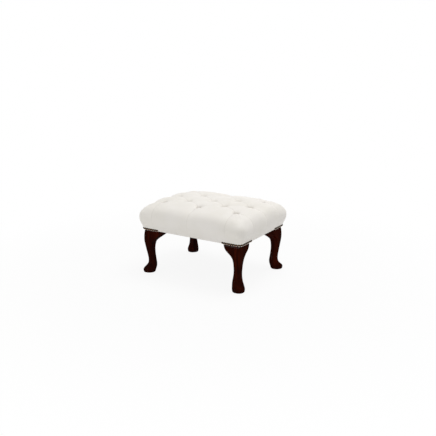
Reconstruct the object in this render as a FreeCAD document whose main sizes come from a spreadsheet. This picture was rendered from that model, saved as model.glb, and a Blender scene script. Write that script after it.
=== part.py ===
import FreeCAD, Part
import math
import os

import Sketcher
from FreeCAD import Placement, Rotation, Vector

# A button-tufted footstool on four cabriole legs, in millimetres. The origin is on the floor under the
# middle of the seat, +X runs along the seat's length and +Z points up.

doc = FreeCAD.newDocument("TuftedFootstool")
sheet = doc.addObject("Spreadsheet::Sheet", "Sizes")

# Driving dimensions: alias and value. Lengths are millimetres and angles are degrees.
DRIVING_SIZES = [
    # Seat plan at the lower edge of the cover, and the heights of the seat
    ("seat_length", 560),
    ("seat_width", 427),
    ("apron_height", 226),
    ("crown_rise", 146.5),
    ("widest_rise", 68),
    ("side_lean", 25),
    ("bulge_radius", 75),
    ("shoulder_radius", 56.6),
    ("cover_corner", 18),
    ("cover_thickness", 1.2),
    ("cover_return", 20),
    ("soft_gap", 0.3),
    ("bulge_steps", 2),
    ("shoulder_steps", 6),
    ("crown_steps", 3),
    ("crown_reach", 125),
    # Buttons and the pleats between them
    ("button_margin_long", 73.2),
    ("button_margin_short", 84.1),
    ("button_diameter", 17),
    ("button_edge", 2),
    ("button_height", 6.5),
    ("button_facets", 10),
    ("tuft_depth", 15),
    ("tuft_mouth_radius", 25),
    ("tuft_floor_radius", 10),
    ("tuft_folds", 8),
    ("pleat_depth", 9.5),
    ("pleat_reach", 60),
    ("pleat_radius", 150),
    ("flank_steps", 3),
    ("edge_pleat_depth", 7),
    ("edge_pleat_reach", 45),
    ("edge_pleat_radius", 110),
    ("edge_pleat_top", 62),
    ("edge_pleat_turn", 32),
    ("twine_diameter", 2),
    ("twine_hole", 3),
    ("twine_knot", 6),
    ("twine_washer_side", 22),
    ("twine_washer_thickness", 2),
    # Frame under the cover
    ("rail_thickness", 22),
    ("rail_height", 54),
    ("dowel_diameter", 8),
    ("dowel_length", 38),
    ("dowel_spacing", 28),
    ("block_side", 64),
    ("block_height", 40),
    ("block_nose", 12),
    ("fit_gap", 0.05),
    ("rod_facets", 12),
    ("deck_thickness", 9),
    ("deck_inset", 2),
    ("deck_hole", 8),
    ("foam_thickness", 45),
    ("foam_inset", 10),
    ("foam_hole", 28),
    ("hole_facets", 8),
    # Hanger bolts
    ("bolt_diameter", 8),
    ("bolt_inset", 38),
    ("bolt_depth", 48),
    ("bolt_washer_diameter", 20),
    ("bolt_washer_thickness", 1.6),
    ("bolt_nut_width", 13),
    ("bolt_nut_height", 6.5),
    ("bolt_tip", 3),
    # Cabriole legs, drawn on a corner of the seat: distances in from the two apron faces
    ("leg_top_setback", 9),
    ("knee_setback", 3.8),
    ("knee_drop", 52),
    ("shin_setback", 7.4),
    ("shin_drop", 98),
    ("ankle_setback", 10.5),
    ("ankle_rise", 68),
    ("post_reach", 60),
    ("post_drop", 50.5),
    ("calf_reach", 46.2),
    ("calf_drop", 104),
    ("heel_reach", 56.2),
    ("heel_rise", 40),
    ("pad_inset", 20.5),
    ("pad_radius", 31.2),
    ("pad_base_radius", 27.5),
    ("pad_base_height", 2.5),
    ("pad_height", 26),
    ("pad_crisp", 3),
    ("pad_roll", 4),
    ("pad_facets", 24),
    ("leg_cuts", 4),
    # Ears beside the knees
    ("ear_reach", 95),
    ("ear_tip_height", 10),
    ("ear_mid_reach", 81),
    ("ear_mid_drop", 35),
    ("ear_belly", 2.2),
    # Foot glides
    ("glide_diameter", 30),
    ("glide_thickness", 2),
    ("glide_pin_diameter", 3),
    ("glide_pin_length", 12),
    # Nail rows over the legs
    ("nails_per_leg", 16),
    ("nail_pitch", 12),
    ("nail_diameter", 11.6),
    ("nail_height", 4),
    ("nail_rise", 2.8),
    ("nail_shoulder_height", 2.3),
    ("nail_facets", 8),
    # Dust cover under the frame
    ("dust_thickness", 0.6),
    ("dust_inset", 8),
    ("leg_clearance", 1.5),
]

for row, (alias, value) in enumerate(DRIVING_SIZES, start=1):
    sheet.set(f"A{row}", alias)
    sheet.set(f"B{row}", str(value))
    sheet.setAlias(f"B{row}", alias)

# Sizes that follow from the driving ones, as formulas in the same sheet
DERIVED_SIZES = [
    ("leg_height", "=apron_height + cover_thickness + soft_gap"),
    ("frame_length", "=seat_length - 2 * (cover_thickness + soft_gap)"),
    ("frame_width", "=seat_width - 2 * (cover_thickness + soft_gap)"),
    ("frame_corner", "=cover_corner - cover_thickness - soft_gap"),
    ("deck_bottom", "=leg_height + rail_height"),
    ("deck_top", "=deck_bottom + deck_thickness"),
    ("foam_bottom", "=deck_top + soft_gap"),
    ("foam_top", "=foam_bottom + foam_thickness"),
    ("foam_length", "=frame_length - 2 * foam_inset"),
    ("foam_width", "=frame_width - 2 * foam_inset"),
    ("inner_length", "=frame_length - 2 * rail_thickness"),
    ("inner_width", "=frame_width - 2 * rail_thickness"),
    ("button_pitch_long", "=seat_length / 2 - button_margin_long"),
    ("button_pitch_short", "=seat_width / 2 - button_margin_short"),
]
for row, (alias, formula) in enumerate(DERIVED_SIZES, start=len(DRIVING_SIZES) + 2):
    sheet.set(f"A{row}", alias)
    sheet.set(f"B{row}", formula)
    sheet.setAlias(f"B{row}", alias)
doc.recompute()

CORNERS = {
    "front_right": (1, -1),
    "back_right": (1, 1),
    "back_left": (-1, 1),
    "front_left": (-1, -1),
}
NODES = []
# Three points whose offset is below this count as a straight line
FLAT = 1e-6


def size(alias):
    """The value of one cell of the sheet."""
    return float(getattr(sheet, alias))


def bind(thing, **expressions):
    """Ties properties of an object to formulas on the sheet, where S stands for the sheet."""
    for prop, formula in expressions.items():
        path = prop.replace("__", ".")
        thing.setExpression(path, formula.replace("S.", "Sizes."))
    return thing


def keep(thing, label):
    """Marks an object as a sub-part under its own label."""
    thing.Label = label
    NODES.append(thing)
    return thing


def box(label, length, width, height, x="0", y="0", z="0"):
    """A box centred on x and y, standing on z, all as formulas."""
    return bind(
        doc.addObject("Part::Box", label),
        Length=length,
        Width=width,
        Height=height,
        Placement__Base__x=f"({x}) - ({length}) / 2",
        Placement__Base__y=f"({y}) - ({width}) / 2",
        Placement__Base__z=z,
    )


def rod(label, radius, height, x, y, z, sides="S.rod_facets"):
    """An upright rod with flat facets standing on z, all as formulas."""
    return bind(
        doc.addObject("Part::Prism", label),
        Polygon=sides,
        Circumradius=radius,
        Height=height,
        Placement__Base__x=x,
        Placement__Base__y=y,
        Placement__Base__z=z,
    )


def cut(label, base, tools):
    """One boolean cut of many tools."""
    group = doc.addObject("Part::Compound", label + "_tools")
    group.Links = tools
    result = doc.addObject("Part::Cut", label)
    result.Base = base
    result.Tool = group
    return result


def ring(radius, height, count):
    """Corners of a regular polygon about the Z axis."""
    angles = [2 * math.pi * k / count for k in range(count)]
    return [Vector(radius * math.cos(a), radius * math.sin(a), height) for a in angles]


def flat_faced(rings):
    """Solid with flat faces between rings of points, each listed from the bottom ring to the top one."""
    outlines = [rings[0][::-1], rings[-1]]
    for low, high in zip(rings, rings[1:]):
        count = len(low)
        outlines += [[low[k], low[(k + 1) % count], high[(k + 1) % count], high[k]] for k in range(count)]
    faces = [Part.Face(Part.makePolygon(points + points[:1])) for points in outlines]
    return Part.Solid(Part.Shell(faces))


def feature(label, shape, placement=None):
    """A sub-part whose shape comes from Part's own functions."""
    thing = doc.addObject("Part::Feature", label)
    thing.Shape = shape
    thing.Placement = placement or Placement()
    return keep(thing, label)


def plane_of(body, role):
    """One of a body's own origin planes."""
    return next(o for o in body.Origin.OriginFeatures if o.Role == role)


def sketch_on(body, role, label):
    """A sketch on one of the body's origin planes."""
    sketch = body.newObject("Sketcher::SketchObject", label)
    sketch.AttachmentSupport = [(plane_of(body, role), "")]
    sketch.MapMode = "FlatFace"
    return sketch


def closed_polygon(sketch, points):
    """Closed chain of lines through the points, joined end to end. Returns the index of the first line."""
    first = sketch.GeometryCount
    count = len(points)
    for i in range(count):
        start = Vector(*points[i], 0)
        end = Vector(*points[(i + 1) % count], 0)
        sketch.addGeometry(Part.LineSegment(start, end), False)
    for i in range(count):
        sketch.addConstraint(Sketcher.Constraint("Coincident", first + i, 2, first + (i + 1) % count, 1))
    return first


def place_point(sketch, line, axis, formula, name):
    """Ties one coordinate of a line's start point to a formula, measured from the sketch's origin."""
    distance = "DistanceX" if axis == 0 else "DistanceY"
    start = sketch.getPoint(line, 1)
    value = start[axis]
    index = sketch.addConstraint(Sketcher.Constraint(distance, -1, 1, line, 1, value))
    sketch.renameConstraint(index, name)
    sketch.setExpression(f"Constraints.{name}", formula.replace("S.", "Sizes."))


# Frame: two long rails, two short rails between them, dowels and corner blocks


def make_rails():
    """Long rails run the full length with rounded outer corners, and the short rails butt between them."""
    for label, side in (("rail_long_front", -1), ("rail_long_back", 1)):
        body = doc.addObject("PartDesign::Body", label + "_body")
        sketch = sketch_on(body, "XY_Plane", label + "_plan")
        half = size("frame_length") / 2
        wall = size("rail_thickness")
        first = closed_polygon(sketch, [(-half, 0), (half, 0), (half, wall), (-half, wall)])
        for line, kind in enumerate(("Horizontal", "Vertical", "Horizontal", "Vertical")):
            sketch.addConstraint(Sketcher.Constraint(kind, first + line))
        place_point(sketch, first + 2, 0, "S.frame_length / 2", "half_length")
        place_point(sketch, first + 3, 0, "-S.frame_length / 2", "other_half")
        place_point(sketch, first + 2, 1, "S.rail_thickness", "wall")
        place_point(sketch, first, 1, "0", "inner_face")
        pad = body.newObject("PartDesign::Pad", label + "_pad")
        pad.Profile = sketch
        bind(pad, Length="S.rail_height")
        doc.recompute()
        outer = [
            f"Edge{i}"
            for i, edge in enumerate(pad.Shape.Edges, start=1)
            if abs(edge.BoundBox.ZLength - size("rail_height")) < 1e-6 and edge.BoundBox.YMin > wall / 2
        ]
        rounding = body.newObject("PartDesign::Fillet", label + "_corners")
        rounding.Base = (pad, outer)
        bind(rounding, Radius="S.frame_corner")
        # The body is drawn with its outer face on +Y, and turned about for the front rail
        turn = 0 if side > 0 else 180
        body.Placement = Placement(Vector(), Rotation(Vector(0, 0, 1), turn))
        bind(
            body,
            Placement__Base__y=f"{side} * (S.frame_width / 2 - S.rail_thickness)",
            Placement__Base__z="S.leg_height",
        )
        keep(cut(label, body, dowel_rods(label, [side], "S.fit_gap")), label)
    for label, side in (("rail_short_left", -1), ("rail_short_right", 1)):
        base = box(
            label + "_bar",
            "S.rail_thickness",
            "S.inner_width",
            "S.rail_height",
            x=f"{side} * (S.frame_length - S.rail_thickness) / 2",
            z="S.leg_height",
        )
        keep(cut(label, base, dowel_rods(label, (-1, 1), "S.fit_gap", [side])), label)


def dowel_rods(prefix, y_sides, gap, x_sides=(-1, 1)):
    """Dowels along Y through the rail joints, two above each other at each corner, with a gap around."""
    pins = []
    for x_side in x_sides:
        for y_side in y_sides:
            for level in (-1, 1):
                name = f"{prefix}_dowel_{x_side + 1}{y_side + 1}{level + 1}"
                pin = doc.addObject("Part::Prism", name)
                bind(
                    pin,
                    Polygon="S.rod_facets",
                    Circumradius=f"S.dowel_diameter / 2 + {gap}",
                    Height=f"S.dowel_length + 2 * {gap}",
                )
                pin.Placement = Placement(Vector(), Rotation(Vector(1, 0, 0), -90))
                bind(
                    pin,
                    Placement__Base__x=f"{x_side} * (S.frame_length - S.rail_thickness) / 2",
                    Placement__Base__y=f"{y_side} * S.inner_width / 2 - S.dowel_length / 2 - {gap}",
                    Placement__Base__z=f"S.leg_height + S.rail_height / 2 + {level} * S.dowel_spacing / 2",
                )
                pins.append(pin)
    return pins


def make_dowels():
    """Eight beech dowels as one group of separate solids."""
    group = doc.addObject("Part::Compound", "rail_dowels")
    group.Links = dowel_rods("pin", (-1, 1), "0")
    keep(group, "rail_dowels")


def make_corner_blocks():
    """Triangular glued blocks in the four inner corners, drilled for the hanger bolts."""
    for corner, (side_x, side_y) in CORNERS.items():
        label = f"corner_block_{corner}"
        body = doc.addObject("PartDesign::Body", label + "_body")
        sketch = sketch_on(body, "XY_Plane", label + "_plan")
        side, nose = size("block_side"), size("block_nose")
        outline = [(0, 0), (side, 0), (side, nose), (nose, side), (0, side)]
        first = closed_polygon(sketch, outline)
        for line, kind in ((0, "Horizontal"), (1, "Vertical"), (3, "Horizontal"), (4, "Vertical")):
            sketch.addConstraint(Sketcher.Constraint(kind, first + line))
        sketch.addConstraint(Sketcher.Constraint("Coincident", first, 1, -1, 1))
        place_point(sketch, first + 2, 0, "S.block_side", "side_along")
        place_point(sketch, first + 2, 1, "S.block_nose", "nose_along")
        place_point(sketch, first + 3, 0, "S.block_nose", "nose_across")
        place_point(sketch, first + 3, 1, "S.block_side", "side_across")
        pad = body.newObject("PartDesign::Pad", label + "_pad")
        pad.Profile = sketch
        bind(pad, Length="S.block_height")
        # Turned so that its square corner lies in the corner of the rails
        turn = {(1, -1): 90, (1, 1): 180, (-1, 1): 270, (-1, -1): 0}[(side_x, side_y)]
        body.Placement = Placement(Vector(), Rotation(Vector(0, 0, 1), turn))
        bind(
            body,
            Placement__Base__x=f"{side_x} * S.inner_length / 2",
            Placement__Base__y=f"{side_y} * S.inner_width / 2",
            Placement__Base__z="S.leg_height",
        )
        hole = rod(
            label + "_hole",
            "S.bolt_diameter / 2 + 4 * S.fit_gap",
            "S.block_height",
            f"{side_x} * (S.seat_length / 2 - S.bolt_inset)",
            f"{side_y} * (S.seat_width / 2 - S.bolt_inset)",
            "S.leg_height",
        )
        keep(cut(label, body, [hole]), label)


def bolt_places():
    """The bolt axes as formulas for x and y."""
    return [
        (f"{sx} * (S.seat_length / 2 - S.bolt_inset)", f"{sy} * (S.seat_width / 2 - S.bolt_inset)")
        for sx, sy in CORNERS.values()
    ]


def make_hanger_bolts():
    """Hanger bolts, washers and nuts, each kind as one group of four solids."""
    top = "S.leg_height + S.block_height"
    bolts = [
        rod(
            f"bolt_{i}",
            "S.bolt_diameter / 2",
            "S.bolt_depth + S.block_height + S.bolt_washer_thickness + S.bolt_nut_height + S.bolt_tip",
            x,
            y,
            "S.leg_height - S.bolt_depth",
        )
        for i, (x, y) in enumerate(bolt_places())
    ]
    group = doc.addObject("Part::Compound", "hanger_bolts")
    group.Links = bolts
    keep(group, "hanger_bolts")
    washers, nuts = [], []
    for i, (x, y) in enumerate(bolt_places()):
        bore_radius = "S.bolt_diameter / 2 + S.fit_gap"
        plate = rod(f"washer_{i}", "S.bolt_washer_diameter / 2", "S.bolt_washer_thickness", x, y, top)
        bore = rod(f"washer_bore_{i}", bore_radius, "S.bolt_washer_thickness", x, y, top)
        washers.append(cut(f"washer_ring_{i}", plate, [bore]))
        seat = f"{top} + S.bolt_washer_thickness"
        nut = rod(f"nut_{i}", "S.bolt_nut_width / 2 / cos(30)", "S.bolt_nut_height", x, y, seat, sides="6")
        nut_bore = rod(f"nut_bore_{i}", bore_radius, "S.bolt_nut_height", x, y, seat)
        nuts.append(cut(f"nut_ring_{i}", nut, [nut_bore]))
    for label, parts in (("bolt_washers", washers), ("bolt_nuts", nuts)):
        group = doc.addObject("Part::Compound", label)
        group.Links = parts
        keep(group, label)


# Legs and ears. A leg blank is sawn to the same outline from two faces, then shaved along both
# diagonals, and its round pad is turned. The outlines run from the top down as three-point arcs. Each
# row of these tables is one point: the station it belongs to, or the two that it lies midway between,
# and the millimetres that it stands further in and further up from there.
KNEE_FRONT = [
    ("top", 0, 0),
    ("top - knee", -1.3, 0),
    ("knee", 0, 0),
    ("knee - shin", -0.6, 0),
    ("shin", 0, 0),
    ("shin - ankle", 0, 0),
    ("ankle", 0, 0),
    ("ankle", -2.7, -26),
    ("pad", 3, -3),
    ("pad", 2, -6),
    ("sole", 1.5, 0),
]
CALF_BACK = [
    ("top", 0, 0),
    ("top - post", 0, 0),
    ("post", 0, 0),
    ("post", -10.3, -11),
    ("calf", 0.8, 26.5),
    ("calf", -0.2, 13),
    ("calf", 0, 0),
    ("calf - heel", 0, -1),
    ("heel", 0, 4),
    ("heel", 0.2, -8),
    ("sole", -1.5, 0),
]
ARRIS_FRONT = [
    ("top", -6, 0),
    ("knee", -6, 0),
    ("knee", -6, -16),
    ("shin", -1, 16),
    ("shin", 6, -19),
    ("ankle", 8.4, 13),
    ("ankle", 10.5, -8),
    ("ankle", 7.5, -27),
    ("pad", 7, -1),
    ("pad", 4, -5),
    ("sole", 1, 0),
]
ARRIS_BACK = [
    ("top", 6, 0),
    ("top - post", 6, 0),
    ("post", 6, 4),
    ("calf", 0.5, 29.5),
    ("calf", -5.5, -4),
    ("calf", -4.5, -26),
    ("heel", -13, 8),
    ("heel", -12.6, -2),
    ("pad", 4, -2),
    ("pad", 3, -5),
    ("sole", -0.5, 0),
]
FLANK = [
    ("top", 12, 0),
    ("top - post", 6, 0),
    ("post", 0, 0),
    ("post", -10, -14),
    ("shin", 4, 14.5),
    ("shin", 0.5, -14),
    ("ankle", 0.2, 14),
    ("ankle", 3.6, -9),
    ("heel", -4.5, -3),
    ("heel", -2.8, -14),
    ("sole", -1.2, 0),
]


def chords(points, count):
    """Points along a chain of three-point arcs, each arc divided into the same count of flat cuts."""
    path = []
    for i in range(0, len(points) - 2, 2):
        a, b, c = (Vector(t, 0, z) for t, z in points[i : i + 3])
        if (b - a).cross(c - b).Length < FLAT:
            path.append(a)
            continue
        path += Part.Arc(a, b, c).toShape().discretize(count + 1)[:-1]
    return path + [Vector(points[-1][0], 0, points[-1][1])]


def slab(near, far, depth):
    """The plate between two outlines that start at the same height and end at the same height."""
    cuts = int(size("leg_cuts"))
    outline = chords(near, cuts) + chords(far, cuts)[::-1]
    plate = Part.Face(Part.makePolygon(outline + outline[:1])).extrude(Vector(0, depth, 0))
    plate.translate(Vector(0, -depth / 2, 0))
    return plate


def outline(stations, rows):
    """Points of one outline: each lies on a station, or midway between two of them, and is then moved."""
    points = []
    for names, inward, upward in rows:
        places = [stations[name] for name in names.split(" - ")]
        across, height = (sum(values) / len(places) for values in zip(*places))
        points.append((across + inward, height + upward))
    return points


def heights():
    """Height of each station of the leg."""
    top = size("leg_height")
    return {
        "top": top,
        "knee": top - size("knee_drop"),
        "post": top - size("post_drop"),
        "shin": top - size("shin_drop"),
        "calf": top - size("calf_drop"),
        "ankle": size("ankle_rise"),
        "heel": size("heel_rise"),
        "pad": size("pad_height"),
        "sole": size("pad_height") / 2,
    }


def stations_at(**across):
    """The named stations of one outline, each as its distance across and its height."""
    levels = heights()
    return {name: (distance, levels[name]) for name, distance in across.items()}


def knee_front():
    """Outer outline of the leg seen square to one face, from the top down to the pad."""
    toe = size("pad_inset") - size("pad_radius")
    stations = stations_at(
        top=size("leg_top_setback"),
        knee=size("knee_setback"),
        shin=size("shin_setback"),
        ankle=size("ankle_setback"),
        pad=toe,
        sole=toe,
    )
    return outline(stations, KNEE_FRONT)


def calf_back():
    """Inner outline of the leg seen square to one face, from the top down to the pad."""
    rim = size("pad_inset") + size("pad_radius")
    stations = stations_at(
        top=size("post_reach"), post=size("post_reach"), calf=size("calf_reach"), heel=size("heel_reach"), sole=rim
    )
    return outline(stations, CALF_BACK)


def diagonal(inset):
    """Distance along the seat corner's diagonal of a point set in by the same amount from both faces."""
    return inset * math.sqrt(2)


def arris_front():
    """How far in along the diagonal the outer arris is shaved, from the top down."""
    toe = diagonal(size("pad_inset")) - size("pad_radius")
    stations = stations_at(
        top=diagonal(size("knee_setback")),
        knee=diagonal(size("knee_setback")),
        shin=diagonal(size("shin_setback")),
        ankle=diagonal(size("ankle_setback")),
        pad=toe,
        sole=toe,
    )
    return outline(stations, ARRIS_FRONT)


def arris_back():
    """How far in along the diagonal the leg reaches, from the top down."""
    rim = diagonal(size("pad_inset")) + size("pad_radius")
    stations = stations_at(
        top=diagonal(size("post_reach")),
        post=diagonal(size("post_reach")),
        calf=diagonal(size("calf_reach")),
        heel=diagonal(size("heel_reach")),
        pad=rim,
        sole=rim,
    )
    return outline(stations, ARRIS_BACK)


def flank():
    """Half the width of the leg across its diagonal, from the top down."""
    post = diagonal(size("post_reach") - size("knee_setback")) / 2
    waist = (size("calf_reach") - size("shin_setback")) / 2
    pad = size("pad_radius")
    stations = stations_at(top=post, post=post, shin=waist, ankle=waist, heel=pad, sole=pad)
    return outline(stations, FLANK)


def turned_pad():
    """The round pad under the ankle, with a narrower step that meets the floor glide."""
    floor = size("glide_thickness")
    step = floor + size("pad_base_height")
    full, high = size("pad_radius"), size("pad_height")
    facets = int(size("pad_facets"))
    profile = [
        (size("pad_base_radius"), floor),
        (size("pad_base_radius"), step),
        (full, (step + high) / 2 - size("pad_crisp")),
        (full, (step + high) / 2 + size("pad_crisp")),
        (full - size("pad_roll"), high),
        (full / 2, high + size("pad_roll")),
    ]
    pad = flat_faced([ring(radius, height, facets) for radius, height in profile])
    pad.translate(Vector(size("pad_inset"), size("pad_inset"), 0))
    return pad


def leg_shape():
    """One leg, drawn at a corner of the seat at the origin with both aprons running along +X and +Y."""
    front, back = knee_front(), calf_back()
    wide = 2 * (size("post_reach") + size("pad_radius"))
    first = slab(front, back, 2 * wide)
    second = first.mirror(Vector(), Vector(1, -1, 0))
    deep = slab(arris_front(), arris_back(), 2 * wide)
    deep.rotate(Vector(), Vector(0, 0, 1), 45)
    half = flank()
    across = slab(half, [(-t, z) for t, z in half], 2 * wide)
    across.rotate(Vector(), Vector(0, 0, 1), 135)
    leg = first.common([second]).common([deep]).common([across]).fuse([turned_pad()])
    gap = size("fit_gap")
    bolt_bottom = size("leg_height") - size("bolt_depth") - gap
    bolt = bore(size("bolt_diameter") / 2 + gap, bolt_bottom, size("leg_height"), size("bolt_inset"))
    pin_top = size("glide_thickness") + size("glide_pin_length") + gap
    pin = bore(size("glide_pin_diameter") / 2 + gap, size("glide_thickness"), pin_top, size("pad_inset"))
    return leg.cut([bolt, pin]).removeSplitter()


def bore(radius, bottom, top, inset):
    """Room for a pin or a bolt, upright in the leg, set in equally from both faces."""
    facets = int(size("rod_facets"))
    room = flat_faced([ring(radius, bottom, facets), ring(radius, top, facets)])
    room.translate(Vector(inset, inset, 0))
    return room


def ear_shape():
    """The ear that runs along +X beside the knee, with its front flush with the knee's own curve.

    It reaches in to a mitre with the ear beside it, so the two fill the corner behind the leg.
    """
    top = size("leg_height")
    reach = size("ear_reach")
    post = (size("post_reach"), top - size("post_drop"))
    mid = (size("ear_mid_reach"), top - size("ear_mid_drop"))
    tip = (reach, top - size("ear_tip_height"))
    belly = ((mid[0] + tip[0]) / 2 + size("ear_belly"), (mid[1] + tip[1]) / 2 - size("ear_belly"))
    square = [(reach, top), (size("post_reach"), top), post]
    outline = chords([mid, belly, tip], int(size("leg_cuts"))) + [Vector(t, 0, z) for t, z in square]
    block = Part.Face(Part.makePolygon(outline + outline[:1])).extrude(Vector(0, reach, 0))
    low = top - size("knee_drop")
    straight_back = [(reach, top), (reach, (top + low) / 2), (reach, low)]
    face = slab(knee_front()[:3], straight_back, 4 * reach)
    mitre = [Vector(0, 0, low), Vector(2 * reach, 0, low), Vector(2 * reach, 2 * reach, low)]
    wedge = Part.Face(Part.makePolygon(mitre + mitre[:1])).extrude(Vector(0, 0, top - low))
    return block.common([face.mirror(Vector(), Vector(1, -1, 0))]).common([wedge])


def corner_placement(side_x, side_y):
    """Carries a shape drawn at the corner at the origin to one corner of the seat."""
    turn = {(1, -1): 90, (1, 1): 180, (-1, 1): 270, (-1, -1): 0}[(side_x, side_y)]
    place = Vector(side_x * size("seat_length") / 2, side_y * size("seat_width") / 2, 0)
    return Placement(place, Rotation(Vector(0, 0, 1), turn))


def make_legs():
    """Four legs, each with two glued ears: one under a long apron and one under a short apron."""
    leg = leg_shape()
    along_x = ear_shape()
    along_y = along_x.mirror(Vector(), Vector(1, -1, 0))
    for corner, (side_x, side_y) in CORNERS.items():
        placement = corner_placement(side_x, side_y)
        feature(f"leg_{corner}", leg.copy(), placement)
        # A quarter turn swaps which ear lies along the seat's length
        x_name, y_name = ("short", "long") if side_x * side_y < 0 else ("long", "short")
        feature(f"ear_{corner}_{x_name}", along_x.copy(), placement)
        feature(f"ear_{corner}_{y_name}", along_y.copy(), placement)


def make_glides():
    """Plain round glides that stand on the floor, each with its pin up into the foot."""
    glides = []
    for corner, (side_x, side_y) in CORNERS.items():
        body = doc.addObject("PartDesign::Body", f"glide_{corner}")
        sketch = sketch_on(body, "XZ_Plane", f"glide_{corner}_profile")
        outer, thick = size("glide_diameter") / 2, size("glide_thickness")
        pin, reach = size("glide_pin_diameter") / 2, size("glide_pin_length")
        outline = [(0, 0), (outer, 0), (outer, thick), (pin, thick), (pin, thick + reach), (0, thick + reach)]
        first = closed_polygon(sketch, outline)
        for line in range(len(outline)):
            kind = "Horizontal" if line % 2 == 0 else "Vertical"
            sketch.addConstraint(Sketcher.Constraint(kind, first + line))
        sketch.addConstraint(Sketcher.Constraint("Coincident", first, 1, -1, 1))
        place_point(sketch, first + 2, 0, "S.glide_diameter / 2", "outer")
        place_point(sketch, first + 2, 1, "S.glide_thickness", "thick")
        place_point(sketch, first + 4, 0, "S.glide_pin_diameter / 2", "pin")
        place_point(sketch, first + 4, 1, "S.glide_thickness + S.glide_pin_length", "reach")
        turned = body.newObject("PartDesign::Revolution", f"glide_{corner}_turned")
        turned.Profile = sketch
        turned.ReferenceAxis = (sketch, ["V_Axis"])
        turned.Angle = 360
        bind(
            body,
            Placement__Base__x=f"{side_x} * (S.seat_length / 2 - S.pad_inset)",
            Placement__Base__y=f"{side_y} * (S.seat_width / 2 - S.pad_inset)",
        )
        glides.append(body)
    group = doc.addObject("Part::Compound", "foot_glides")
    group.Links = glides
    keep(group, "foot_glides")


# Seat: deck, foam, tufted cover and buttons


def button_grid():
    """Column and row factors of the thirteen buttons: a grid of nine, and four between them."""
    nine = [(i, j) for j in (-1, 0, 1) for i in (-1, 0, 1)]
    four = [(i, j) for j in (-0.5, 0.5) for i in (-0.5, 0.5)]
    return nine + four


def button_places():
    """Formulas for the x and y of each button."""
    return [(f"{i} * S.button_pitch_long", f"{j} * S.button_pitch_short") for i, j in button_grid()]


def drilled(label, base, radius, bottom, height):
    """A sheet of the seat with an upright hole under each button."""
    holes = [
        rod(f"{label}_hole_{k}", radius, height, x, y, bottom, sides="S.hole_facets")
        for k, (x, y) in enumerate(button_places())
    ]
    return cut(label, base, holes)


def make_deck():
    """Plywood deck on the rails, with a hole for the twine of each button."""
    board = box(
        "deck_blank",
        "S.frame_length - 2 * S.deck_inset",
        "S.frame_width - 2 * S.deck_inset",
        "S.deck_thickness",
        z="S.deck_bottom",
    )
    upright = [
        f"Edge{i}"
        for i, edge in enumerate(Part.makeBox(1, 1, 1).Edges, start=1)
        if edge.BoundBox.ZLength > 0.5
    ]
    blank = doc.addObject("Part::Fillet", "deck_rounded")
    blank.Base = board
    radius = size("frame_corner") - size("deck_inset")
    blank.Edges = [(int(name[4:]), radius, radius) for name in upright]
    deck = drilled("deck_board", blank, "S.deck_hole / 2", "S.deck_bottom", "S.deck_thickness")
    keep(deck, "deck_board")


def make_foam():
    """Foam block on the deck, punched under each button."""
    block = box("foam_block", "S.foam_length", "S.foam_width", "S.foam_thickness", z="S.foam_bottom")
    foam = drilled("seat_foam", block, "S.foam_hole / 2", "S.foam_bottom", "S.foam_thickness")
    keep(foam, "seat_foam")


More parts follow.
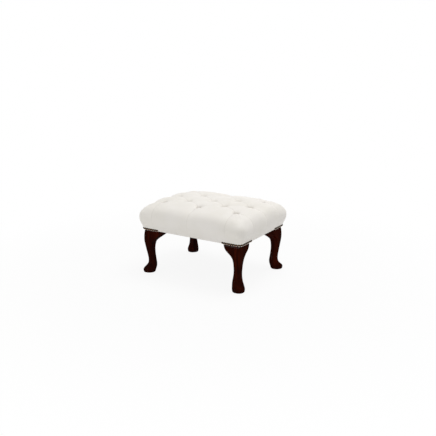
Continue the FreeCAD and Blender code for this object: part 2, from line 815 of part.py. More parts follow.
class CushionForm:
    """The tufted outer form of the upholstered seat.

    Its side leans out from the apron, swells and rolls over a shoulder, which is carried round each
    corner. The top rises in shallow steps to a crown, with a faceted funnel at each button and pleats
    with rounded flanks between the buttons and over the shoulder.
    """

    def __init__(self):
        self.corner = size("cover_corner")
        self.half_x = size("seat_length") / 2 - self.corner
        self.half_y = size("seat_width") / 2 - self.corner
        self.bottom = size("apron_height")
        self.lean = math.radians(size("side_lean"))
        self.widest = self.bottom + size("widest_rise")
        self.shoulder = size("shoulder_radius")
        self.crown = self.bottom + size("crown_rise")
        # How far the side swells beyond the apron's lower edge follows from its lean and its arc
        bulge = size("bulge_radius")
        arc_reach = bulge * (1 - math.cos(self.lean))
        line_reach = (size("widest_rise") - bulge * math.sin(self.lean)) * math.tan(self.lean)
        self.swell = arc_reach + line_reach
        self.hub = self.swell - self.shoulder
        self.rim_angle = math.acos((-self.corner - self.hub) / self.shoulder)
        self.rim = self.widest + self.shoulder * math.sin(self.rim_angle)

    def side_profile(self):
        """Face between a corner's upright axis, at x = 0, and the side's surface, in the XZ plane."""
        bulge = size("bulge_radius")
        points = [Vector(0, 0, self.bottom), Vector(self.corner, 0, self.bottom)]
        steps = int(size("bulge_steps"))
        for step in range(steps + 1):
            angle = self.lean * (step / steps - 1)
            reach = self.corner + self.swell + bulge * (math.cos(angle) - 1)
            points.append(Vector(reach, 0, self.widest + bulge * math.sin(angle)))
        steps = int(size("shoulder_steps"))
        for step in range(1, steps + 1):
            points.append(self.on_shoulder(self.rim_angle * step / steps, 0) + Vector(self.corner, 0, 0))
        return Part.Face(Part.makePolygon(points + points[:1]))

    def on_shoulder(self, angle, depth):
        """Point under the shoulder's surface, with x counted from the apron's lower edge."""
        radius = self.shoulder - depth
        return Vector(self.hub + radius * math.cos(angle), 0, self.widest + radius * math.sin(angle))

    def crown_rings(self):
        """Insets and heights of the steps of the crown, from the rim up."""
        rise = self.crown - self.rim
        steps = int(size("crown_steps"))
        reach = size("crown_reach")
        return [(reach * k / steps, self.rim + rise * math.sin(math.pi / 2 * k / steps)) for k in range(steps + 1)]

    def crown_height(self, x, y):
        """Height of the crowned top over a point of the plan."""
        inset = min(self.half_x - abs(x), self.half_y - abs(y))
        rings = self.crown_rings()
        for (low_in, low_z), (high_in, high_z) in zip(rings, rings[1:]):
            if inset <= high_in:
                return low_z + (high_z - low_z) * (inset - low_in) / (high_in - low_in)
        return self.crown

    def core(self):
        """Middle of the cushion between the four corner axes, under the crown."""
        rings = self.crown_rings()
        levels = [(0, self.bottom)] + rings
        pieces = []
        for (low_in, low_z), (high_in, high_z) in zip(levels, levels[1:]):
            pieces.append(frustum(self.half_x, self.half_y, low_in, low_z, high_in, high_z))
        return pieces

    def plain(self):
        """The form without its tufts."""
        turn = Vector(0, 0, 1)
        profile = self.side_profile()
        pieces = self.core()
        for angle, half, length in ((0, self.half_x, self.half_y), (90, self.half_y, self.half_x)):
            for side in (angle, angle + 180):
                bar = profile.extrude(Vector(0, 2 * length, 0))
                bar.translate(Vector(half, -length, 0))
                bar.rotate(Vector(), turn, side)
                pieces.append(bar)
        for start, (side_x, side_y) in ((0, (1, 1)), (90, (-1, 1)), (180, (-1, -1)), (270, (1, -1))):
            corner = profile.copy()
            corner.rotate(Vector(), turn, start)
            corner = corner.revolve(Vector(), turn, 90)
            corner.translate(Vector(side_x * self.half_x, side_y * self.half_y, 0))
            pieces.append(corner)
        return pieces[0].fuse(pieces[1:]).removeSplitter()

    def tuft_floor(self, x, y):
        """Height of the floor of the tuft at a button."""
        return self.crown_height(x, y) - size("tuft_depth")

    def tuft(self, x, y):
        """Funnel that holds a button on its floor, with a fold in the leather at each of its corners."""
        floor, mouth, depth = size("tuft_floor_radius"), size("tuft_mouth_radius"), size("tuft_depth")
        folds = int(size("tuft_folds"))
        funnel = flat_faced([ring(floor, 0, folds), ring(2 * mouth - floor, 2 * depth, folds)])
        funnel.translate(Vector(x, y, self.tuft_floor(x, y)))
        return funnel

    def pleat(self, start, end, reach, radius, overrun):
        """Cutter with two rounded flanks that meet in a valley from one point to another."""
        valley = math.sqrt(radius**2 - reach**2)
        spread = math.asin(reach / radius)
        high = 2 * size("tuft_depth")
        steps = int(size("flank_steps"))
        # Each flank rises from the valley and levels out at its far edge
        angles = [spread * (1 - k / steps) for k in range(steps + 1)]
        flank_points = [(reach - radius * math.sin(a), radius * math.cos(a) - valley) for a in angles]
        outline = [Vector(0, -y, z) for y, z in flank_points[::-1]] + [Vector(0, y, z) for y, z in flank_points[1:]]
        outline += [Vector(0, reach, high), Vector(0, -reach, high)]
        face = Part.Face(Part.makePolygon(outline + outline[:1]))
        run = end - start
        length = run.Length
        cutter = face.extrude(Vector(length + 2 * overrun, 0, 0))
        cutter.translate(Vector(-overrun, 0, 0))
        pitch = math.degrees(math.asin(run.z / length))
        cutter.rotate(Vector(), Vector(0, 1, 0), -pitch)
        cutter.rotate(Vector(), Vector(0, 0, 1), math.degrees(math.atan2(run.y, run.x)))
        cutter.translate(start)
        return cutter

    def valley_point(self, i, j):
        """Lowest point of the pleats at a button, given by its column and row."""
        x, y = i * size("button_pitch_long"), j * size("button_pitch_short")
        return Vector(x, y, self.crown_height(x, y) - size("pleat_depth"))

    def inner_pleats(self):
        """Sixteen pleats, four from each inner button to the buttons round it."""
        cutters = []
        for i in (-0.5, 0.5):
            for j in (-0.5, 0.5):
                for step_i in (-0.5, 0.5):
                    for step_j in (-0.5, 0.5):
                        ends = self.valley_point(i, j), self.valley_point(i + step_i, j + step_j)
                        cutters.append(self.pleat(*ends, size("pleat_reach"), size("pleat_radius"), 0))
        return cutters

    def edge_pleats(self):
        """Twelve pleats that run straight from the outer buttons over the shoulder and fade on the side."""
        cutters = []
        sides = [((side, 0), (side, line)) for side in (-1, 1) for line in (-1, 0, 1)]
        sides += [((0, side), (line, side)) for side in (-1, 1) for line in (-1, 0, 1)]
        reach, radius = size("edge_pleat_reach"), size("edge_pleat_radius")
        angles = [math.radians(a) for a in (size("edge_pleat_top"), size("edge_pleat_turn"), 0)]
        depths = (size("edge_pleat_depth"), size("edge_pleat_depth") / 2, 0)
        for (out_x, out_y), (i, j) in sides:
            start = self.valley_point(i, j)
            half = size("seat_length") / 2 if out_x else size("seat_width") / 2
            route = [start]
            for angle, depth in zip(angles, depths):
                point = self.on_shoulder(angle, depth)
                reach_out = half + point.x
                x = out_x * reach_out if out_x else start.x
                y = out_y * reach_out if out_y else start.y
                route.append(Vector(x, y, point.z))
            for k, (near, far) in enumerate(zip(route, route[1:])):
                overrun = 0 if k == 0 else reach / 2
                cutters.append(self.pleat(near, far, reach, radius, overrun))
        return cutters

    def tufted(self):
        """The whole form with its tufts and pleats."""
        tufts = [
            self.tuft(i * size("button_pitch_long"), j * size("button_pitch_short")) for i, j in button_grid()
        ]
        form = self.plain()
        for cutters in (tufts, self.inner_pleats(), self.edge_pleats()):
            form = form.cut(cutters)
        return form


def frustum(half_x, half_y, low_in, low_z, high_in, high_z):
    """Four-sided block between two rectangles that are drawn in from the same plan."""
    rings = []
    for inset, z in ((low_in, low_z), (high_in, high_z)):
        x, y = half_x - inset, half_y - inset
        rings.append([Vector(x, -y, z), Vector(x, y, z), Vector(-x, y, z), Vector(-x, -y, z)])
    return flat_faced(rings)


def rounded_block(length, width, radius, bottom, top):
    """An upright block with rounded vertical edges, centred on the origin."""
    block = Part.makeBox(length, width, top - bottom, Vector(-length / 2, -width / 2, bottom))
    upright = [edge for edge in block.Edges if edge.BoundBox.ZLength > (top - bottom) / 2]
    return block.makeFillet(radius, upright)


def make_cover():
    """The leather cover with its wadding: the tufted form, hollow over the frame and the foam."""
    gap = size("soft_gap")
    form = CushionForm().tufted()
    frame_space = rounded_block(
        size("frame_length") + 2 * gap,
        size("frame_width") + 2 * gap,
        size("frame_corner") + gap,
        size("apron_height") - 1,
        size("deck_top") + gap,
    )
    foam_space = Part.makeBox(
        size("foam_length") + 2 * gap,
        size("foam_width") + 2 * gap,
        size("foam_top") + gap - size("deck_top"),
        Vector(-size("foam_length") / 2 - gap, -size("foam_width") / 2 - gap, size("deck_top")),
    )
    cover = form.cut([frame_space, foam_space] + twine_holes(form.BoundBox.ZMax))
    feature("tufted_cover", cover.fuse(cover_folds()).removeSplitter())


def cover_folds():
    """Edges of the leather that are folded under the rails between the legs."""
    thickness = size("cover_thickness")
    clear = size("ear_reach") + size("leg_clearance")
    fold = size("cover_return")
    bottom = size("apron_height")
    long_run = size("seat_length") - 2 * clear
    short_run = size("seat_width") - 2 * clear
    y_edge = size("seat_width") / 2 - thickness / 2
    x_edge = size("seat_length") / 2 - thickness / 2
    folds = []
    for side in (-1, 1):
        y_low = y_edge - fold if side > 0 else -y_edge
        x_low = x_edge - fold if side > 0 else -x_edge
        folds.append(Part.makeBox(long_run, fold, thickness, Vector(-long_run / 2, y_low, bottom)))
        folds.append(Part.makeBox(fold, short_run, thickness, Vector(x_low, -short_run / 2, bottom)))
    return folds


def twine_holes(top):
    """Upright holes for the twine under each button."""
    bottom = size("foam_top")
    holes = []
    for i, j in button_grid():
        hole = strand(size("twine_hole") / 2, bottom, top)
        hole.translate(Vector(i * size("button_pitch_long"), j * size("button_pitch_short"), 0))
        holes.append(hole)
    return holes


def strand(radius, bottom, top):
    """An upright six-sided rod on the Z axis."""
    sides = 6
    return flat_faced([ring(radius, bottom, sides), ring(radius, top, sides)])


def button_shape():
    """A covered button, domed in flat facets over a short straight edge."""
    radius, edge, high = size("button_diameter") / 2, size("button_edge"), size("button_height")
    facets = int(size("button_facets"))
    rise = high - edge
    dome = (radius**2 + rise**2) / (2 * rise)
    levels = [(radius, 0)]
    for part in (1, 0.75, 0.35):
        reach = radius * part
        levels.append((reach, high - dome + math.sqrt(dome**2 - reach**2)))
    return flat_faced([ring(reach, height, facets) for reach, height in levels])


def make_buttons():
    """Thirteen leather-covered buttons, each seated in its tuft."""
    form = CushionForm()
    button = button_shape()
    for number, (i, j) in enumerate(button_grid(), start=1):
        x, y = i * size("button_pitch_long"), j * size("button_pitch_short")
        place = Vector(x, y, form.tuft_floor(x, y) + size("soft_gap"))
        feature(f"button_{number:02d}", button.copy(), Placement(place, Rotation()))


def make_twine():
    """Waxed twine from each button down through the deck, with a square washer and a knot below."""
    form = CushionForm()
    strands, washers = [], []
    under = size("deck_bottom") - size("twine_washer_thickness")
    knot = size("twine_knot") / 2
    plate = size("twine_washer_side")
    for i, j in button_grid():
        x, y = i * size("button_pitch_long"), j * size("button_pitch_short")
        top = form.tuft_floor(x, y) + size("soft_gap")
        line = strand(size("twine_diameter") / 2, under - knot / 2, top)
        line = line.fuse([strand(knot, under - knot, under)]).removeSplitter()
        line.translate(Vector(x, y, 0))
        strands.append(line)
        washer = Part.makeBox(plate, plate, size("twine_washer_thickness"), Vector(-plate / 2, -plate / 2, under))
        washer = washer.cut([strand(size("twine_hole") / 2, under - knot, top)])
        washer.translate(Vector(x, y, 0))
        washers.append(washer)
    feature("button_twine", Part.makeCompound(strands))
    feature("twine_washers", Part.makeCompound(washers))


# Nail rows and the dust cover


def nail_head():
    """A domed head with flat facets, standing on the origin with its crown up."""
    radius, high, facets = size("nail_diameter") / 2, size("nail_height"), int(size("nail_facets"))
    shoulder = size("nail_shoulder_height")
    # The facets' corners lie on a sphere cap through the rim and the crown
    sphere = (radius**2 + high**2) / (2 * high)
    shoulder_radius = math.sqrt(sphere**2 - (sphere - high + shoulder) ** 2)
    rim, crest = ring(radius, 0, facets), ring(shoulder_radius, shoulder, facets)
    outlines = [rim[::-1]]
    for k in range(facets):
        following = (k + 1) % facets
        outlines.append([rim[k], rim[following], crest[following], crest[k]])
        outlines.append([crest[k], crest[following], Vector(0, 0, high)])
    faces = [Part.Face(Part.makePolygon(points + points[:1])) for points in outlines]
    return Part.Solid(Part.Shell(faces))


def nail_places():
    """Place and outward direction of each nail of one row, in the frame of a corner at the origin."""
    count = int(size("nails_per_leg"))
    corner = size("cover_corner")
    lean = math.radians(size("side_lean"))
    out = size("nail_rise") * math.tan(lean)
    turn_radius = corner + out
    quarter = math.pi / 2 * turn_radius
    height = size("apron_height") + size("nail_rise")
    places = []
    for k in range(count):
        along = (k - (count - 1) / 2) * size("nail_pitch")
        if abs(along) <= quarter / 2:
            angle = math.radians(225) + along / turn_radius
            x = corner + turn_radius * math.cos(angle)
            y = corner + turn_radius * math.sin(angle)
        else:
            straight = corner + abs(along) - quarter / 2
            x, y = (straight, -out) if along > 0 else (-out, straight)
            angle = math.radians(270 if along > 0 else 180)
        normal = Vector(
            math.cos(angle) * math.cos(lean), math.sin(angle) * math.cos(lean), -math.sin(lean)
        )
        places.append((Vector(x, y, height), normal))
    return places


def make_nails():
    """One row of nail heads round each leg, as a group of separate solids."""
    head = nail_head()
    row = []
    for place, normal in nail_places():
        nail = head.copy()
        nail.Placement = Placement(place, Rotation(Vector(0, 0, 1), normal))
        row.append(nail)
    for corner, (side_x, side_y) in CORNERS.items():
        feature(f"nail_row_{corner}", Part.makeCompound(row), corner_placement(side_x, side_y))


def make_dust_cover():
    """Thin black cloth under the frame, notched square round the legs and their ears."""
    sheet_box = box(
        "dust_sheet",
        "S.seat_length - 2 * S.dust_inset",
        "S.seat_width - 2 * S.dust_inset",
        "S.dust_thickness",
        z="S.apron_height - S.soft_gap - S.dust_thickness",
    )
    reach = "(S.ear_reach + S.leg_clearance)"
    notches = [
        box(
            f"notch_{corner}",
            reach,
            reach,
            "3 * S.dust_thickness",
            x=f"{side_x} * (S.seat_length - {reach}) / 2",
            y=f"{side_y} * (S.seat_width - {reach}) / 2",
            z="S.apron_height - S.soft_gap - 2 * S.dust_thickness",
        )
        for corner, (side_x, side_y) in CORNERS.items()
    ]
    keep(cut("dust_cover", sheet_box, notches), "dust_cover")


def check_document():
    """Stops the build where any object failed or any sub-part has no sound shape."""
    doc.recompute()
    failed = [o.Name for o in doc.Objects if {"Invalid", "Error"} & set(o.State)]
    unsound = [o.Label for o in NODES if o.Shape.isNull() or not o.Shape.isValid() or not o.Shape.Solids]
    if failed or unsound:
        raise RuntimeError(f"failed objects {failed}, unsound shapes {unsound}")


def write_parts():
    """One file for each sub-part."""
    os.makedirs("parts", exist_ok=True)
    for node in NODES:
        node.Shape.exportStep(f"parts/{node.Label}.step")
        print(node.Label, len(node.Shape.Solids), round(node.Shape.Volume))


def main():
    make_rails()
    make_dowels()
    make_corner_blocks()
    make_hanger_bolts()
    make_legs()
    make_glides()
    make_deck()
    make_foam()
    make_cover()
    make_buttons()
    make_twine()
    make_nails()
    make_dust_cover()
    check_document()
    write_parts()


main()
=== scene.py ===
import logging
import math
from dataclasses import dataclass, field
from enum import Enum

import bpy
import numpy as np
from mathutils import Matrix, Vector


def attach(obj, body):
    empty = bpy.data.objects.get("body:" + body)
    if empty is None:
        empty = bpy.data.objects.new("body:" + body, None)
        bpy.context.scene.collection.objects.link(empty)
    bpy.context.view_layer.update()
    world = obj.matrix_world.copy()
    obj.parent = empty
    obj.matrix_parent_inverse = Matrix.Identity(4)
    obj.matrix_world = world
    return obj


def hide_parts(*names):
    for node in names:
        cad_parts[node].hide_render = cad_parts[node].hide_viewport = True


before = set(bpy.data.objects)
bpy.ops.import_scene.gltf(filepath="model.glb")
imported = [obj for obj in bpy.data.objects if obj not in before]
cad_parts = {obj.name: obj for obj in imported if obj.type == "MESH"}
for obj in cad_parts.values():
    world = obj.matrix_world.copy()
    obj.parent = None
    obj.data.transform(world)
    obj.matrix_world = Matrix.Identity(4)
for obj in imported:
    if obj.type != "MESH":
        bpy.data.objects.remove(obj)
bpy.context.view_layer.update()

# A button-tufted footstool on four cabriole legs. Sizes in the classes are millimetres, in the model's own
# frame: the origin is on the floor under the seat's middle, +X runs along the seat and +Z points up.

MM = 0.001
SEAT_SIZE = (560.0, 427.0)
HEM_HEIGHT = 226.0
HEM_CORNER = 18.0
HEM_LEAN = math.radians(25.0)
TOUCHING = 1e-6
NO_CREASE = 180.0
WHITE = (1.0, 1.0, 1.0, 1.0)

Colour = tuple[float, float, float, float]
Faces = list[list[int]]
Stations = tuple[tuple[float, float], ...]

log = logging.getLogger("footstool")


class Corner(Enum):
    """A corner of the stool, with the signs of its x and y."""

    FRONT_RIGHT = (1, -1)
    BACK_RIGHT = (1, 1)
    BACK_LEFT = (-1, 1)
    FRONT_LEFT = (-1, -1)

    @property
    def label(self) -> str:
        """The corner's part of a CAD node's name."""
        return self.name.lower()

    def carry(self, points: np.ndarray) -> np.ndarray:
        """Points drawn with a corner on the origin and the seat towards +X and +Y, brought to this one."""
        plan = np.array(self.value) * (np.array(SEAT_SIZE) / 2 - points[:, :2])
        return np.column_stack([plan, points[:, 2]])

    def outward(self, faces: Faces) -> Faces:
        """Faces turned over where this corner mirrors them, so that they point outwards."""
        mirrored = self.value[0] * self.value[1] < 0
        return [face[::-1] for face in faces] if mirrored else faces


class EarSide(Enum):
    """The side of the seat that an ear runs along."""

    LONG = "long"
    SHORT = "short"


class Slot(Enum):
    """Material slots of the record that new pieces stand in."""

    LEATHER = "ivory_leather"
    MAHOGANY = "mahogany"
    FOAM = "foam"
    TWINE = "twine"
    BRASS = "antique_brass"


class CellDistance(Enum):
    """What a pattern of cells measures."""

    TO_MIDDLE = "F1"
    TO_EDGE = "DISTANCE_TO_EDGE"


# Finishes


class Num:
    """A number socket of a node tree, on which sums are written as Python expressions."""

    def __init__(self, tree: "NodeTree", socket: bpy.types.NodeSocket) -> None:
        """Wraps a socket of the tree."""
        self.tree = tree
        self.socket = socket

    def math(self, operation: str, *others: "Num | float") -> "Num":
        """A Math node with this number first and the others after it."""
        inputs = dict(enumerate((self, *others)))
        return self.tree.add("ShaderNodeMath", {"operation": operation}, inputs)

    def __add__(self, other: "Num | float") -> "Num":
        """Sum."""
        return self.math("ADD", other)

    __radd__ = __add__

    def __mul__(self, other: "Num | float") -> "Num":
        """Product."""
        return self.math("MULTIPLY", other)

    __rmul__ = __mul__

    def __rsub__(self, other: "Num | float") -> "Num":
        """Difference from a number."""
        return (self * -1.0) + other

    def size(self) -> "Num":
        """Its value without its sign."""
        return self.math("ABSOLUTE")

    def between(self, low: float, high: float) -> "Num":
        """A smooth step from 0 at low to 1 at high.

        Args:
            low: Values up to this one give 0.
            high: Values from this one on give 1.

        Returns:
            The step.
        """
        settings = {"interpolation_type": "SMOOTHSTEP", "clamp": True}
        inputs = {"Value": self, "From Min": low, "From Max": high}
        return self.tree.add("ShaderNodeMapRange", settings, inputs)


class NodeTree:
    """The nodes of one material or world, added through plain calls."""

    def __init__(self, owner: bpy.types.Material | bpy.types.World) -> None:
        """Opens the nodes of a material or a world.

        Args:
            owner: The material or the world.
        """
        owner.use_nodes = True
        self.owner = owner
        self.nodes = owner.node_tree.nodes

    @classmethod
    def of_material(cls, name: str) -> "NodeTree":
        """Opens the nodes of a new material."""
        return cls(bpy.data.materials.new(name))

    def add(self, kind: str, settings: dict, inputs: dict, output: int | str = 0) -> Num:
        """Adds a node.

        Args:
            kind: The node's type.
            settings: Its properties, set before its sockets.
            inputs: Values, numbers or sockets by input name or number.
            output: Which output to give back.

        Returns:
            The output as a number on which sums can be written.
        """
        node = self.nodes.new(kind)
        for name, value in settings.items():
            setattr(node, name, value)
        for name, value in inputs.items():
            self.join(value, node.inputs[name])
        return Num(self, node.outputs[output])

    def join(self, value: "Num | bpy.types.NodeSocket | float | tuple", socket: bpy.types.NodeSocket) -> None:
        """Links a value to a socket, or writes it there.

        Args:
            value: A number of the tree, an output, or a plain number or colour.
            socket: The input that it goes to.
        """
        source = value.socket if isinstance(value, Num) else value
        if isinstance(source, bpy.types.NodeSocket):
            self.owner.node_tree.links.new(source, socket)
        else:
            socket.default_value = source

    def place(self, scale: tuple[float, float, float] = (1.0, 1.0, 1.0)) -> Num:
        """Object coordinates, stretched by a scale along each axis."""
        spot = self.add("ShaderNodeTexCoord", {}, {}, "Object")
        return self.add("ShaderNodeMapping", {}, {"Vector": spot, "Scale": scale})

    def noise(self, spot: Num, scale: float, detail: float = 3.0, rough: float = 0.5) -> Num:
        """Soft noise between 0 and 1."""
        inputs = {"Vector": spot, "Scale": scale, "Detail": detail, "Roughness": rough}
        return self.add("ShaderNodeTexNoise", {}, inputs)

    def cells(self, spot: Num, scale: float, distance: CellDistance = CellDistance.TO_MIDDLE) -> Num:
        """Distance in a pattern of irregular cells."""
        settings = {"feature": distance.value}
        return self.add("ShaderNodeTexVoronoi", settings, {"Vector": spot, "Scale": scale})

    def attribute(self, name: str) -> Num:
        """A number stored on the piece's vertices."""
        return self.add("ShaderNodeAttribute", {"attribute_name": name}, {}, "Fac")

    def blend(self, factor: Num, low: "Num | Colour", high: "Num | Colour") -> Num:
        """A colour between two: low where the factor is 0, and high where it is 1."""
        # The colours of a Mix node are its inputs 6 and 7 and its output 2
        settings = {"data_type": "RGBA", "clamp_factor": True}
        return self.add("ShaderNodeMix", settings, {0: factor, 6: low, 7: high}, 2)

    def bump(self, height: Num, depth: float, strength: float, under: Num | None = None) -> Num:
        """A normal from a height between 0 and 1.

        Args:
            height: The height.
            depth: How far a height of 1 stands out, in metres.
            strength: Share of the effect that is used.
            under: The normal that it is laid on, or none for the surface's own.

        Returns:
            The normal.
        """
        inputs = {"Height": height, "Distance": depth, "Strength": strength}
        if under is not None:
            inputs["Normal"] = under
        return self.add("ShaderNodeBump", {}, inputs)

    def finish(self, **sockets: "Num | float | Colour") -> bpy.types.Material:
        """Sets the sockets of the principled shader.

        Args:
            **sockets: Values by socket name, with _ for a space.

        Returns:
            The material.
        """
        shader = self.nodes["Principled BSDF"]
        for name, value in sockets.items():
            self.join(value, shader.inputs[name.replace("_", " ")])
        return self.owner


def colour(red: float, green: float, blue: float) -> Colour:
    """A shader colour, by the usual curve of a screen.

    Args:
        red: Red on the screen, 0 to 255.
        green: Green on the screen, 0 to 255.
        blue: Blue on the screen, 0 to 255.

    Returns:
        The colour in linear values, with an alpha of 1.
    """
    parts = [c / 255 for c in (red, green, blue)]
    linear = [c / 12.92 if c <= 0.04045 else ((c + 0.055) / 1.055) ** 2.4 for c in parts]
    return (*linear, 1.0)


@dataclass(frozen=True)
class IvoryLeather:
    """Smooth ivory hide with a fine pore grain and faint creases, with painted shade as a soft dark line in
    each pleat and round each button.
    """

    base: Colour = colour(245, 241, 235)
    shade: Colour = colour(241, 237, 229)
    # fold is the colour of the painted shade in the pleats' lines and round the buttons
    fold: Colour = colour(150, 141, 127)
    roughness: float = 0.42
    roughness_spread: float = 0.12

    # Patterns: how many of their cells lie in a metre, and the ranges and shares that are used
    mottle_scale: float = 7.0
    mottle_range: tuple[float, float] = (0.35, 0.7)
    patch_scale: float = 35.0
    patch_least: float = 0.3
    pore_scale: float = 900.0
    pore_share: float = 0.35
    wrinkle_scale: float = 330.0
    wrinkle_stretch: float = 1.35
    wrinkle_width: float = 0.12
    grain_depth: float = 0.00012

    # The painted shade line in each pleat and the painted shade round each button, in metres and as shares
    line_width: float = 0.0016
    line_depth: float = 0.0008
    line_shade: float = 0.4
    button_shade_reach: tuple[float, float] = (0.006, 0.02)
    button_shade: float = 0.48

    def material(self, pleated: bool) -> bpy.types.Material:
        """Builds the finish.

        Args:
            pleated: Whether the piece carries the marks of the cover's pleats and buttons: painted shade
                along the pleats and round the buttons, and a groove along each pleat.

        Returns:
            The material.
        """
        tree = NodeTree.of_material("ivory_leather_pleated" if pleated else "ivory_leather")
        spot = tree.place()
        mottle = tree.noise(spot, self.mottle_scale, detail=4.0, rough=0.6)
        tint = tree.blend(mottle.between(*self.mottle_range), self.base, self.shade)
        pores = tree.cells(spot, self.pore_scale)
        stretched = tree.place((1.0, 1.0, self.wrinkle_stretch))
        creases = tree.cells(stretched, self.wrinkle_scale, CellDistance.TO_EDGE)
        wrinkles = creases.between(0.0, self.wrinkle_width)
        grain = pores * self.pore_share + wrinkles * (1.0 - self.pore_share)
        patch = tree.noise(spot, self.patch_scale, detail=2.0)
        strong = patch * (1.0 - self.patch_least) + self.patch_least
        normal = tree.bump(grain * strong, self.grain_depth, strength=0.5)
        if pleated:
            # Painted shade: a dark line along each pleat, as strong as the pleat is deep, and a darkening
            # round each button
            away = tree.attribute("pleat").size()
            line = (1.0 - away.between(0.0, self.line_width)) * tree.attribute("fold")
            near = (1.0 - tree.attribute("button").between(*self.button_shade_reach)) * self.button_shade
            tint = tree.blend((line * self.line_shade).math("MAXIMUM", near), tint, self.fold)
            normal = tree.bump(1.0 - line, self.line_depth, strength=0.7, under=normal)
        return tree.finish(
            Base_Color=tint,
            Roughness=mottle * self.roughness_spread + self.roughness,
            Normal=normal,
            Specular_IOR_Level=0.35,
        )


@dataclass(frozen=True)
class Mahogany:
    """Very dark red-brown stain over a straight grain, under a smooth lacquer."""

    dark: Colour = colour(30, 4, 0)
    mid: Colour = colour(47, 9, 0)
    warm: Colour = colour(68, 17, 3)
    gloss: float = 0.07
    roughness: float = 0.35
    roughness_spread: float = 0.1

    # Grain: cells in a metre across it, how little it changes upwards, and the shares of its three parts
    band_scale: float = 55.0
    band_stretch: float = 0.07
    fibre_scale: float = 420.0
    fibre_stretch: float = 0.03
    fibre_depth: float = 0.00008
    cloud_scale: float = 14.0
    shares: tuple[float, float, float] = (0.6, 0.2, 0.2)

    # Where in the figure the stain turns from dark to mid and on to warm, and how far it gets there
    mid_range: tuple[float, float] = (0.38, 0.56)
    warm_range: tuple[float, float] = (0.5, 0.68)
    warm_share: float = 0.8

    def material(self) -> bpy.types.Material:
        """Builds the finish.

        Returns:
            The material.
        """
        tree = NodeTree.of_material("polished_mahogany")
        along_bands, along_fibres = (1.0, 1.0, self.band_stretch), (1.0, 1.0, self.fibre_stretch)
        bands = tree.noise(tree.place(along_bands), self.band_scale, detail=5.0, rough=0.65)
        fibres = tree.noise(tree.place(along_fibres), self.fibre_scale, detail=3.0, rough=0.6)
        cloud = tree.noise(tree.place(), self.cloud_scale, detail=2.0)
        of_bands, of_fibres, of_cloud = self.shares
        figure = bands * of_bands + fibres * of_fibres + cloud * of_cloud
        tint = tree.blend(figure.between(*self.mid_range), self.dark, self.mid)
        tint = tree.blend(figure.between(*self.warm_range) * self.warm_share, tint, self.warm)
        facing = tree.add("ShaderNodeLayerWeight", {}, {"Blend": 0.5}, "Facing")
        return tree.finish(
            Base_Color=tint,
            Roughness=fibres * self.roughness_spread + self.roughness,
            Normal=tree.bump(fibres, self.fibre_depth, strength=0.2),
            Specular_IOR_Level=0.0,
            Coat_Weight=(1.0 - facing) * self.gloss,
            Coat_Roughness=0.08,
            Coat_IOR=1.35,
        )


@dataclass(frozen=True)
class PlainWood:
    """Sawn timber or plywood of the hidden frame, with its grain along one axis."""

    name: str
    pale: Colour
    brown: Colour
    along: tuple[float, float, float]
    band_scale: float = 70.0
    band_share: float = 0.7
    fibre_scale: float = 480.0
    fibre_depth: float = 0.0002
    brown_range: tuple[float, float] = (0.35, 0.65)
    roughness: float = 0.6
    roughness_spread: float = 0.2

    def material(self) -> bpy.types.Material:
        """Builds the finish.

        Returns:
            The material.
        """
        tree = NodeTree.of_material(self.name)
        bands = tree.noise(tree.place(self.along), self.band_scale, detail=4.0, rough=0.6)
        fibres = tree.noise(tree.place(self.along), self.fibre_scale, detail=2.0)
        figure = bands * self.band_share + fibres * (1.0 - self.band_share)
        return tree.finish(
            Base_Color=tree.blend(figure.between(*self.brown_range), self.pale, self.brown),
            Roughness=fibres * self.roughness_spread + self.roughness,
            Normal=tree.bump(fibres, self.fibre_depth, strength=0.5),
        )


@dataclass(frozen=True)
class AntiqueBrass:
    """Aged brass: dark brown tarnish above, which also stands in for the dark surroundings that the heads
    reflect, worn golden spots on the crown that also serve as painted glints, and below a pale painted
    reflection of the white floor.
    """

    # pale is the painted reflection of the white floor, brown the tarnish that also stands in for the dark
    # surroundings reflected above, and gold the bare brass
    pale: Colour = colour(232, 226, 217)
    gold: Colour = colour(152, 110, 70)
    brown: Colour = colour(26, 20, 15)
    tarnish_scale: float = 300.0
    tarnish_depth: float = 0.0001
    roughness: float = 0.16
    roughness_spread: float = 0.2

    # Worn spots, which also serve as painted glints: how high on the dome they begin, and which of the
    # tarnish they take
    wear_and_glint_from: tuple[float, float] = (0.8, 1.0)
    wear_and_glint_spots: tuple[float, float] = (0.36, 0.6)

    # The painted reflection of the white floor on the lower part: how far down its edge lies, and how ragged
    # the tarnish makes it
    floor_reflection_edge: tuple[float, float] = (0.45, 0.62)
    floor_reflection_ragged: float = 0.3

    def material(self) -> bpy.types.Material:
        """Builds the finish, from the marks that tell how low and how high on its dome a point lies.

        Returns:
            The material.
        """
        tree = NodeTree.of_material("antique_brass")
        tarnish = tree.noise(tree.place(), self.tarnish_scale, detail=4.0, rough=0.65)
        # Painted glints and wear: gold spots on the crown, worn through the tarnish
        crown = tree.attribute("rise").between(*self.wear_and_glint_from)
        wear_and_glint = crown * tarnish.between(*self.wear_and_glint_spots)
        # Painted reflection of the white floor: the pale colour over the lower part of each head, with a
        # ragged edge
        ragged = tree.attribute("low") + tarnish * self.floor_reflection_ragged
        floor_reflection = ragged.between(*self.floor_reflection_edge)
        return tree.finish(
            Base_Color=tree.blend(floor_reflection, tree.blend(wear_and_glint, self.brown, self.gold), self.pale),
            Metallic=1.0,
            Roughness=tarnish * self.roughness_spread + self.roughness,
            Normal=tree.bump(tarnish, self.tarnish_depth, strength=0.4),
        )


